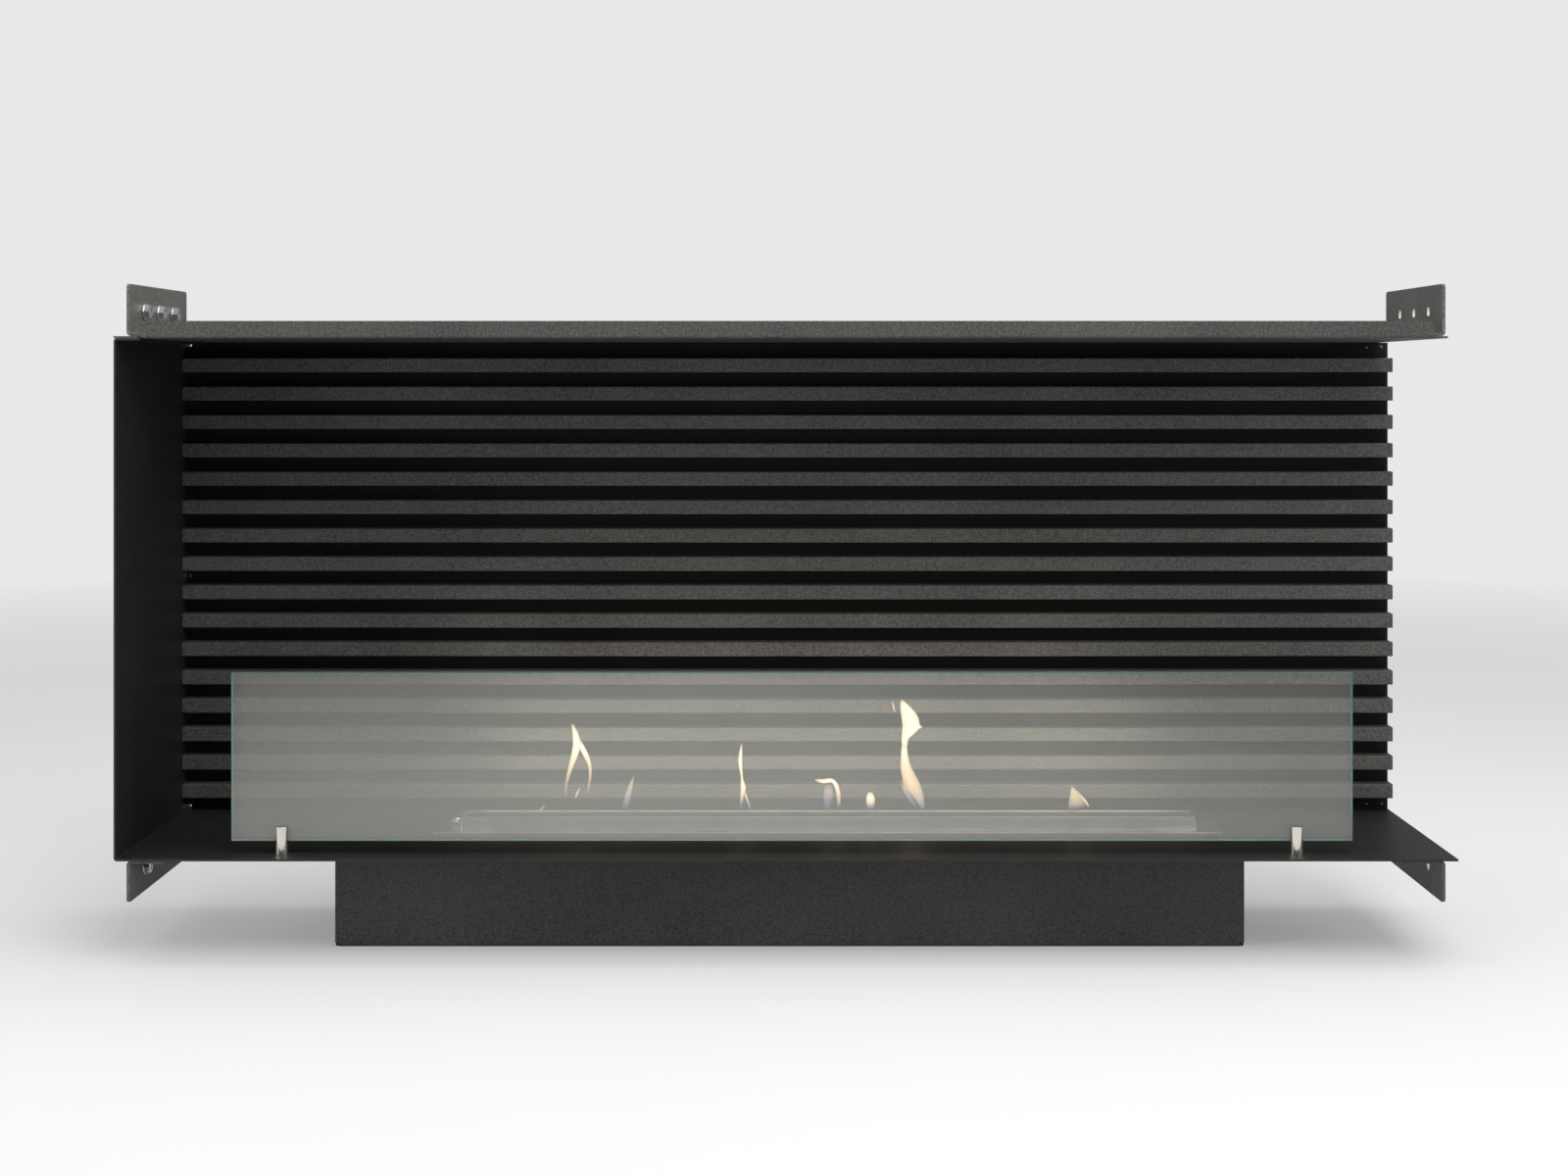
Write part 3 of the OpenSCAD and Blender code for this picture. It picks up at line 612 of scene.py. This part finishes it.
mesh = bmesh.new()
for low, high in shells("wall_nuts"):
    middle = Vector((low.x, (low.y + high.y) / 2, (low.z + high.z) / 2))
    rings = nut_rings(NUT_BORE, 4.5, 0.6, FLATS, EDGE, (high.x - low.x) / MM)
    add_turned(mesh, rings, middle, (1, 0, 0), closed=True)
finish_turned(mesh, "hexagon_nuts", zinc, "casing", "wall_nuts")

mesh = bmesh.new()
for low, high in shells("wall_washers"):
    middle = Vector((low.x, (low.y + high.y) / 2, (low.z + high.z) / 2))
    thick, outer = (high.x - low.x) / MM, (high.z - low.z) / MM / 2
    rings = [(WASHER_BORE, 0), (outer - EDGE, 0), (outer, EDGE), (outer, thick - EDGE),
             (outer - EDGE, thick), (WASHER_BORE, thick)]
    add_turned(mesh, rings, middle, (1, 0, 0), closed=True)
finish_turned(mesh, "flat_washers", zinc, "casing", "wall_washers")
print(len(shells("wall_bolts")), "bolts with nuts and washers")

# %% [markdown]
# ## Panel screws, rivets and nuts
# Small pan-head screws with a hexagon socket hold the panels together and the slats to the
# back. They are told in rings too: a shank, a flat under-face, a domed head and a socket that
# goes back down into the head. Blackened rivets close the back panel's right corners.


# %% Pan heads, rivets and small nuts
def pan_head(shank_r, shank, head_r, head_h, socket_r):
    """The rings of a pan-head screw whose head sits on height 0. Sizes are in mm."""
    return [(shank_r - 0.3, -shank), (shank_r, -shank + 0.4), (shank_r, 0), (head_r, 0),
            (head_r, head_h * 0.45), (head_r * 0.95, head_h * 0.72), (head_r * 0.82, head_h * 0.93),
            (head_r * 0.66, head_h), (socket_r, head_h, 6), (socket_r, head_h * 0.35, 6)]


def add_screws(node, axis, head_h, head_r, shank_r, socket_r, segments=24):
    """Replace a node of screws. axis points out of the heads."""
    mesh = bmesh.new()
    direction = Vector(axis)
    for low, high in shells(node):
        middle = (low + high) / 2
        reach = (high - low).dot(Vector([abs(c) for c in axis]))
        seat = middle + direction * (reach / 2 - head_h * MM)
        add_turned(mesh, pan_head(shank_r, reach / MM - head_h, head_r, head_h, socket_r),
                   seat, axis, segments=segments)
    finish_turned(mesh, node + "_pan_head", zinc, "casing", node)
    print(node, len(shells(node)))


add_screws("top_screws", (0, 0, 1), head_h=2.4, head_r=4.0, shank_r=2.0, socket_r=1.3)
add_screws("shelf_screws", (0, 0, -1), head_h=2.4, head_r=4.0, shank_r=2.0, socket_r=1.3)
add_screws("post_screws", (0, 0, -1), head_h=3.0, head_r=4.5, shank_r=2.5, socket_r=1.8)
add_screws("slat_screws", (0, 1, 0), head_h=2.1, head_r=3.5, shank_r=1.75, socket_r=1.1,
           segments=18)

mesh = bmesh.new()
for low, high in shells("corner_rivets"):
    seat = Vector(((low.x + high.x) / 2, high.y, (low.z + high.z) / 2))
    depth = (high.y - low.y) / MM
    rings = [(1.0, -depth), (1.6, -depth + 0.3), (1.6, -1.0), (3.2, -1.0), (3.1, -0.6),
             (2.5, -0.25), (1.5, -0.04), (0.7, 0)]
    add_turned(mesh, rings, seat, (0, 1, 0), segments=24)
finish_turned(mesh, "domed_rivets", dark_steel, "casing", "corner_rivets")


def add_nuts(node, bore_r):
    """Replace a node of small hexagon nuts, whose axes are upright."""
    mesh = bmesh.new()
    for low, high in shells(node):
        flats = min(high.x - low.x, high.y - low.y) / MM / 2
        place = Vector(((low.x + high.x) / 2, (low.y + high.y) / 2, low.z))
        rings = nut_rings(bore_r, bore_r + 0.3, 0.3, flats, 0.15, (high.z - low.z) / MM)
        add_turned(mesh, rings, place, (0, 0, 1), closed=True, segments=24)
    finish_turned(mesh, node + "_hexagon", zinc, "casing", node)
    print(node, len(shells(node)))


add_nuts("panel_nuts", 2.05)
add_nuts("housing_nuts", 2.55)

# %% [markdown]
# ## Damper knob
# The damper's knob is a small turned button. Its rim is knurled so that a finger grips it: a
# ring of fine ribs. A polygon with very many corners, every second one pulled in, makes ribs
# that catch the light like real knurling.

# %% Knurled knob
RIBS = 36
RIB_DEPTH = 0.28 * MM
low, high = shells("damper_knob")[0]
knob_r = (high.x - low.x) / MM / 2
height = (high.z - low.z) / MM
stem_r = knob_r * 0.42
foot = Vector(((low.x + high.x) / 2, (low.y + high.y) / 2, low.z))
rings = [(stem_r, 0), (stem_r, height * 0.42), (knob_r - 0.5, height * 0.42),
         (knob_r, height * 0.5), (knob_r, height * 0.86), (knob_r - 0.5, height * 0.94),
         (knob_r - 0.9, height), (knob_r * 0.4, height), (knob_r * 0.3, height - 0.25)]
mesh = bmesh.new()
add_turned(mesh, rings, foot, (0, 0, 1), segments=2 * RIBS)
for vert in mesh.verts:
    arm = (vert.co - foot) * Vector((1, 1, 0))
    step = round(math.atan2(arm.y, arm.x) / math.pi * RIBS)
    if arm.length > (knob_r - 0.05) * MM and step % 2:
        vert.co -= arm.normalized() * RIB_DEPTH
finish_turned(mesh, "knurled_knob", knob_steel, "damper", "damper_knob")
print("knob with", RIBS, "ribs")

# %% [markdown]
# ## Ceramic wool
# Bars of ceramic wool fill the tank and soak up the fuel. Their cut faces are soft and uneven.
# Each bar is a stretched cube, divided finely, whose points are drawn inwards by a noise.

# %% Wool bars
WOOL_DEPTH = 0.9 * MM
WOOL_SCALE = 160
for node in ("wick_1", "wick_2", "wick_3"):
    low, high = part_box(node)
    mesh = bmesh.new()
    bmesh.ops.create_cube(mesh, size=1)
    bmesh.ops.scale(mesh, vec=high - low, verts=mesh.verts)
    bmesh.ops.translate(mesh, vec=(low + high) / 2, verts=mesh.verts)
    longest = [edge for edge in mesh.edges if edge.calc_length() > 0.1]
    bmesh.ops.subdivide_edges(mesh, edges=longest, cuts=70, use_grid_fill=True)
    short = [edge for edge in mesh.edges if edge.calc_length() > 0.02]
    bmesh.ops.subdivide_edges(mesh, edges=short, cuts=11, use_grid_fill=True)
    for vert in mesh.verts:
        pull = 0.5 + 0.5 * noise.noise(vert.co * WOOL_SCALE)
        vert.co -= vert.normal * WOOL_DEPTH * pull
    bmesh.ops.recalc_face_normals(mesh, faces=mesh.faces)
    piece = finish_piece(mesh, node + "_wool", [ceramic_wool], nodes[node]["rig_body"], [node],
                         80)
    print(piece.name, len(piece.data.polygons), "faces")

# %% [markdown]
# ## Weld beads
# The brackets are stitch-welded to the casing: short beads with gaps between them, so that the
# thin sheet doesn't warp. A bead is a row of overlapping ripples. Here each ripple is a flat
# little ball, pulled half into the one before it, and the powder coat covers them all.

# %% Stitch welds on the brackets
RIPPLE_STEP = 1.5 * MM
RIPPLE_R = 1.9 * MM
RIPPLES = 14
BEAD_PLACES = (0.12, 0.5, 0.88)
brackets = (("bracket_upper_left", -1, 1), ("bracket_upper_right", 1, 1),
            ("bracket_lower_left", -1, -1), ("bracket_lower_right", 1, -1))
mesh = bmesh.new()
for node, side, up in brackets:
    low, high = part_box(node)
    inner = high.x if side < 0 else low.x
    seam = low.z if up > 0 else high.z
    for share in BEAD_PLACES:
        middle = low.y + (high.y - low.y) * share
        for step in range(RIPPLES):
            along = middle + (step - RIPPLES / 2) * RIPPLE_STEP
            place = (inner - side * 0.5 * MM, along, seam + up * 0.4 * MM)
            made = bmesh.ops.create_uvsphere(mesh, u_segments=10, v_segments=6, radius=RIPPLE_R)
            bmesh.ops.scale(mesh, vec=(0.95, 0.8, 0.95), verts=made["verts"])
            bmesh.ops.translate(mesh, vec=place, verts=made["verts"])
finish_piece(mesh, "stitch_welds", [bracket_paint], "casing", angle=60)
print(len(brackets) * len(BEAD_PLACES), "short beads")

# %% [markdown]
# ## Glass
# The screen is a toughened sheet with ground and bevelled edges. It starts as a cube, is
# stretched to the CAD size and gets a fine bevel all round. The four narrow sides and their
# bevels take the teal edge finish; the two large faces stay clear.

# %% Glass screen
ARRIS = 0.4 * MM
glass_low, glass_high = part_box("glass_screen")
mesh = bmesh.new()
bmesh.ops.create_cube(mesh, size=1)
bmesh.ops.scale(mesh, vec=glass_high - glass_low, verts=mesh.verts)
bmesh.ops.translate(mesh, vec=(glass_low + glass_high) / 2, verts=mesh.verts)
bmesh.ops.bevel(mesh, geom=mesh.edges[:], offset=ARRIS, offset_type="OFFSET", segments=2,
                affect="EDGES", profile=0.5, material=-1)
for face in mesh.faces:
    face.material_index = 0 if abs(face.normal.y) > 0.99 else 1
finish_piece(mesh, "glass_sheet", [clear_glass, edge_glass], "screen", ["glass_screen"],
             30)
print("glass", [round(v, 4) for v in glass_high - glass_low], "m")

# %% [markdown]
# ## Flames
# An alcohol flame is a thin sheet of hot gas: blue and almost invisible at its foot, cream in
# its body, fading at the tip. Each one is a skin bridged from flattened rings, so that it has a
# shape from every side. Every point carries two values, how hot it looks and how solid it is.
# The sides of a ring are given no solidity, which makes the flame melt into the air. The
# material turns the heat into a colour of light and the solidity into transparency.


# %% Flame material
def flame_finish():
    """Light whose colour follows the heat and whose transparency follows the solidity."""
    material, tree, shader, coords = new_material("flame")
    attribute = tree.nodes.new("ShaderNodeAttribute")
    attribute.attribute_name = "heat_and_solidity"
    parts = tree.nodes.new("ShaderNodeSeparateColor")
    tree.links.new(attribute.outputs["Color"], parts.inputs["Color"])
    flicker = add_range(tree, add_noise(tree, coords, 60, 2, (1, 1, 0.35)), -0.08, 0.08)
    heat = tree.nodes.new("ShaderNodeMath")
    heat.use_clamp = True
    tree.links.new(parts.outputs["Red"], heat.inputs[0])
    tree.links.new(flicker, heat.inputs[1])
    ramp = tree.nodes.new("ShaderNodeValToRGB")
    stops = ((0.0, (0.10, 0.16, 0.55)), (0.25, (0.62, 0.52, 0.52)), (0.5, (1.0, 0.72, 0.40)),
             (0.75, (1.0, 0.84, 0.54)), (1.0, (1.0, 0.93, 0.75)))
    for index, (place, colour) in enumerate(stops):
        stop = ramp.color_ramp.elements[index] if index < 2 else ramp.color_ramp.elements.new(place)
        stop.position = place
        stop.color = (*colour, 1)
    tree.links.new(heat.outputs["Value"], ramp.inputs["Fac"])
    tree.links.new(ramp.outputs["Color"], shader.inputs["Emission Color"])
    tree.links.new(parts.outputs["Green"], shader.inputs["Alpha"])
    shader.inputs["Emission Strength"].default_value = 1.35
    shader.inputs["Base Color"].default_value = (0, 0, 0, 1)
    shader.inputs["Specular IOR Level"].default_value = 0
    shader.inputs["Roughness"].default_value = 1
    return material


flame_light = flame_finish()
print("flame material:", flame_light.name)

# %% [markdown]
# ## Flame shapes
# The flames stand apart along the slot, each with its own habit: a tall one that leans, a
# forked one, a cap that curls over. A flame is a list of rings from the foot to the tip:
# distance along the casing, height, width, heat and solidity.

# %% Flames
SLOT_Y = (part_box("burner_deck")[0].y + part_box("burner_deck")[1].y) / 2
FLAME_DEPTH = 0.55
FLAME_THIN = 0.4 * MM
FLAME_SIDES = 16
SIDE_HEAT = 0.55
strands = [
    # forked flame on the left: body with two legs and a loose streak
    [(-224, 134, 3, 0.25, 0.0), (-225, 142, 3, 0.3, 0.15), (-223, 156, 3.6, 0.5, 0.32),
     (-218, 172, 5.5, 0.8, 0.7), (-213, 186, 9, 1.0, 1.0), (-213.5, 198, 7.5, 1.0, 1.0),
     (-216.5, 207, 4, 0.8, 0.7), (-218.5, 213, 1, 0.6, 0.0)],
    [(-202, 138, 3, 0.25, 0.0), (-201, 148, 3, 0.4, 0.2), (-199, 160, 3.4, 0.6, 0.35),
     (-200, 171, 3.8, 0.8, 0.6), (-204, 180, 6, 0.9, 0.95), (-209, 189, 6, 1.0, 0.9),
     (-212, 197, 3, 0.9, 0.0)],
    [(-216, 133, 1.5, 0.3, 0.0), (-213, 140, 2.5, 0.6, 0.5), (-209, 149, 1, 0.6, 0.0)],
    [(-254, 118, 1.5, 0.4, 0.0), (-249, 125, 2.2, 0.6, 0.35), (-244, 131, 0.8, 0.6, 0.0)],
    # faint streak
    [(-165.5, 122, 5, 0.05, 0.0), (-163, 132, 7, 0.15, 0.22), (-160, 143, 6, 0.35, 0.35),
     (-157, 152, 3.5, 0.5, 0.3), (-154.5, 160, 0.8, 0.5, 0.0)],
    # thin flame with a bead of light
    [(-46, 124, 2, 0.1, 0.0), (-46, 131, 3, 0.2, 0.3), (-44.5, 140, 4, 0.6, 0.7),
     (-43.4, 147, 6.5, 1.0, 1.0), (-45, 153, 3, 0.9, 0.9), (-45.2, 158, 2, 0.8, 0.8),
     (-46.2, 165, 3.4, 0.9, 0.9), (-47, 173, 4.6, 1.0, 1.0), (-46.3, 183, 3.2, 0.9, 0.8),
     (-45, 194, 0.7, 0.7, 0.0)],
    [(-35, 119, 1.5, 0.05, 0.0), (-37, 127, 2.5, 0.15, 0.3), (-41, 137, 3, 0.5, 0.5),
     (-43.4, 146, 3, 0.9, 0.0)],
    # cap that curls over
    [(28, 155, 1, 0.6, 0.0), (33, 153.2, 3.5, 0.8, 0.8), (40, 152.6, 5, 1.0, 1.0),
     (46, 154.6, 4.6, 1.0, 1.0), (50.5, 150.5, 5, 0.9, 0.95), (52.8, 143, 4.5, 0.7, 0.7),
     (53.8, 133, 4, 0.35, 0.35), (53, 124, 3, 0.1, 0.0)],
    [(40, 121, 4, 0.02, 0.0), (42, 130, 9, 0.1, 0.18), (43, 142, 11, 0.3, 0.3),
     (43, 152, 6, 0.7, 0.0)],
    # small bead
    [(86, 123, 6, 0.05, 0.0), (86, 128, 8, 0.2, 0.4), (85.7, 133, 10, 0.7, 0.9),
     (85.5, 138, 8.5, 1.0, 1.0), (85.6, 143, 3, 0.9, 0.0)],
    # tall leaning flame: bright upper body, pale crescent below
    [(121, 186, 6, 0.6, 0.2), (120.3, 192, 6, 0.9, 0.95), (121, 198, 8, 1.0, 1.0),
     (124, 204, 14, 1.0, 1.0), (127.5, 209, 20, 1.0, 1.0), (126.5, 215, 19, 1.0, 1.0),
     (123.5, 222, 15, 1.0, 1.0), (120, 229, 9, 0.95, 0.9), (116.3, 238, 1, 0.7, 0.0)],
    [(130, 208, 6, 0.9, 0.2), (135, 209, 5, 1.0, 0.8), (140, 207.6, 0.8, 0.7, 0.0)],
    [(111, 222, 2, 0.8, 0.1), (109, 229, 1.8, 0.8, 0.6), (107.4, 237, 0.6, 0.6, 0.0)],
    [(140, 122, 3, 0.05, 0.0), (138, 130, 7, 0.2, 0.3), (135, 138, 11, 0.4, 0.45),
     (128, 150, 17, 0.55, 0.6), (122.5, 162, 13, 0.65, 0.7), (120.5, 173, 9, 0.8, 0.8),
     (120, 184, 6.5, 0.9, 0.85), (120.3, 193, 6, 0.9, 0.2)],
    [(134, 124, 3, 0.05, 0.0), (127, 134, 6, 0.2, 0.22), (120, 146, 6, 0.4, 0.3),
     (118, 158, 4, 0.5, 0.0)],
    # last faint one on the right
    [(297, 124, 20, 0.2, 0.0), (296, 130, 20, 0.45, 0.28), (294, 137, 13, 0.6, 0.4),
     (291.5, 144, 5, 0.7, 0.4), (290.8, 149, 1, 0.6, 0.0)],
    [(308.6, 125, 1.6, 0.5, 0.0), (306, 131, 2.2, 0.9, 0.6), (300, 138, 1.8, 0.8, 0.5),
     (293, 146, 0.8, 0.6, 0.0)],
]
mesh = bmesh.new()
values = mesh.verts.layers.float_color.new("heat_and_solidity")
for strand in strands:
    loops = []
    for index, (x, z, width, heat, solid) in enumerate(strand):
        made = bmesh.ops.create_circle(mesh, cap_ends=False, radius=1,
                                       segments=FLAME_SIDES)["verts"]
        for vert in made:
            middle = abs(vert.co.y) ** 0.8
            vert[values] = (heat * (SIDE_HEAT + (1 - SIDE_HEAT) * middle), solid * middle, 0, 1)
        before, after = strand[max(0, index - 1)], strand[min(len(strand) - 1, index + 1)]
        lean = math.atan2(after[0] - before[0], after[1] - before[1])
        half = width / 2 * MM
        bmesh.ops.scale(mesh, vec=(half, max(half * FLAME_DEPTH, FLAME_THIN), 1), verts=made)
        bmesh.ops.rotate(mesh, matrix=Matrix.Rotation(lean, 3, "Y"), verts=made)
        bmesh.ops.translate(mesh, vec=(x * MM, SLOT_Y, z * MM), verts=made)
        loops.append(list({edge for vert in made for edge in vert.link_edges}))
    for first, second in zip(loops, loops[1:]):
        bmesh.ops.bridge_loops(mesh, edges=first + second)
    for edges in (loops[0], loops[-1]):
        bmesh.ops.contextual_create(mesh, geom=edges)
bmesh.ops.recalc_face_normals(mesh, faces=mesh.faces)
flames = finish_piece(mesh, "flames", [flame_light], "burner", angle=180)
smooth = flames.modifiers.new("smooth", "SUBSURF")
smooth.levels = smooth.render_levels = 2
print(len(strands), "strands of flame")

# %% [markdown]
# ## Floor and light
# The floor is a wide pale disc. Close in it is an ordinary matt surface that takes soft
# shadows. Further out it fades into the same pale tone as the sky, so that no horizon shows.
# Four soft boxes light the object: a broad one overhead for the top, a key light high in front
# that also reaches the slats, and a weaker one on each side, so that the shadows stay open. A
# small warm light along the slot stands for the glow of the flames on the slats behind them.


# %% Floor and lights
BACKDROP = 0.81
FLOOR_GLOW = 0.3
AMBIENT = 0.30
FADE = (1.2, 4.5)
FLOOR_R = 14
FLOOR_DROP = 0.2 * MM


def make_floor():
    """A pale disc that fades into the background."""
    material, tree, shader, coords = new_material("studio_floor")
    mottle = add_noise(tree, coords, 3, 3)
    colours = add_colours(tree, mottle, (0.86, 0.86, 0.86), (0.89, 0.89, 0.89))
    tree.links.new(colours, shader.inputs["Base Color"])
    shader.inputs["Roughness"].default_value = 0.9
    length = tree.nodes.new("ShaderNodeVectorMath")
    length.operation = "LENGTH"
    tree.links.new(coords, length.inputs[0])
    far = add_range(tree, length.outputs["Value"], FLOOR_GLOW, 1, *FADE)
    glow = tree.nodes.new("ShaderNodeEmission")
    glow.inputs["Color"].default_value = (BACKDROP, BACKDROP, BACKDROP, 1)
    path = tree.nodes.new("ShaderNodeLightPath")
    strength = add_range(tree, path.outputs["Is Camera Ray"], AMBIENT, 1, 0, 1)
    tree.links.new(strength, glow.inputs["Strength"])
    mix = tree.nodes.new("ShaderNodeMixShader")
    output = tree.nodes["Material Output"]
    tree.links.new(far, mix.inputs["Fac"])
    tree.links.new(shader.outputs["BSDF"], mix.inputs[1])
    tree.links.new(glow.outputs["Emission"], mix.inputs[2])
    tree.links.new(mix.outputs["Shader"], output.inputs["Surface"])
    mesh = bmesh.new()
    bmesh.ops.create_circle(mesh, cap_ends=True, radius=FLOOR_R, segments=128)
    data = bpy.data.meshes.new("floor")
    mesh.to_mesh(data)
    mesh.free()
    data.materials.append(material)
    floor = bpy.data.objects.new("floor", data)
    floor.location.z = -FLOOR_DROP
    bpy.context.scene.collection.objects.link(floor)
    floor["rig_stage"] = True


def soft_box(name, place, target, size, watts, colour=(1, 1, 1)):
    """A rectangular light that faces target. The camera doesn't see it."""
    data = bpy.data.lights.new(name, "AREA")
    data.shape = "RECTANGLE"
    data.size, data.size_y = size
    data.energy = watts
    data.color = colour
    light = bpy.data.objects.new(name, data)
    light.location = place
    light.visible_camera = False
    light.rotation_euler = (Vector(target) - Vector(place)).to_track_quat("-Z", "Y").to_euler()
    bpy.context.scene.collection.objects.link(light)


def make_sky():
    """A pale sky. What the camera sees directly is brighter than what lights the object."""
    world = bpy.data.worlds.new("studio")
    bpy.context.scene.world = world
    world.use_nodes = True
    tree = world.node_tree
    seen = tree.nodes["Background"]
    seen.inputs["Color"].default_value = (BACKDROP, BACKDROP, BACKDROP, 1)
    lighting = tree.nodes.new("ShaderNodeBackground")
    lighting.inputs["Color"].default_value = (AMBIENT, AMBIENT, AMBIENT * 1.01, 1)
    path = tree.nodes.new("ShaderNodeLightPath")
    mix = tree.nodes.new("ShaderNodeMixShader")
    tree.links.new(path.outputs["Is Camera Ray"], mix.inputs["Fac"])
    tree.links.new(lighting.outputs["Background"], mix.inputs[1])
    tree.links.new(seen.outputs["Background"], mix.inputs[2])
    tree.links.new(mix.outputs["Shader"], tree.nodes["World Output"].inputs["Surface"])


make_floor()
make_sky()
soft_box("overhead", (0.2, -0.2, 2.7), (0.0, 0.0, 0.0), (2.8, 2.0), 46)
soft_box("front_key", (0.7, -2.0, 2.5), (0.1, 0.0, 0.3), (1.8, 1.2), 42)
soft_box("right_side", (2.4, -1.3, 1.0), (0.3, 0.0, 0.25), (1.2, 1.2), 11)
soft_box("left_side", (-2.4, -1.2, 0.6), (-0.4, 0.0, 0.05), (1.4, 1.0), 20)
soft_box("flame_glow", (0.04, SLOT_Y, 0.17), (0.04, 1.0, 0.20), (0.7, 0.08), 0.62,
         colour=(1.0, 0.88, 0.68))
print("one floor, one sky, four soft boxes and the glow of the flames")

# %% Write the sizes and finish
low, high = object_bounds()
print("visual box in metres:", [round(v, 4) for v in (*low, *high)])
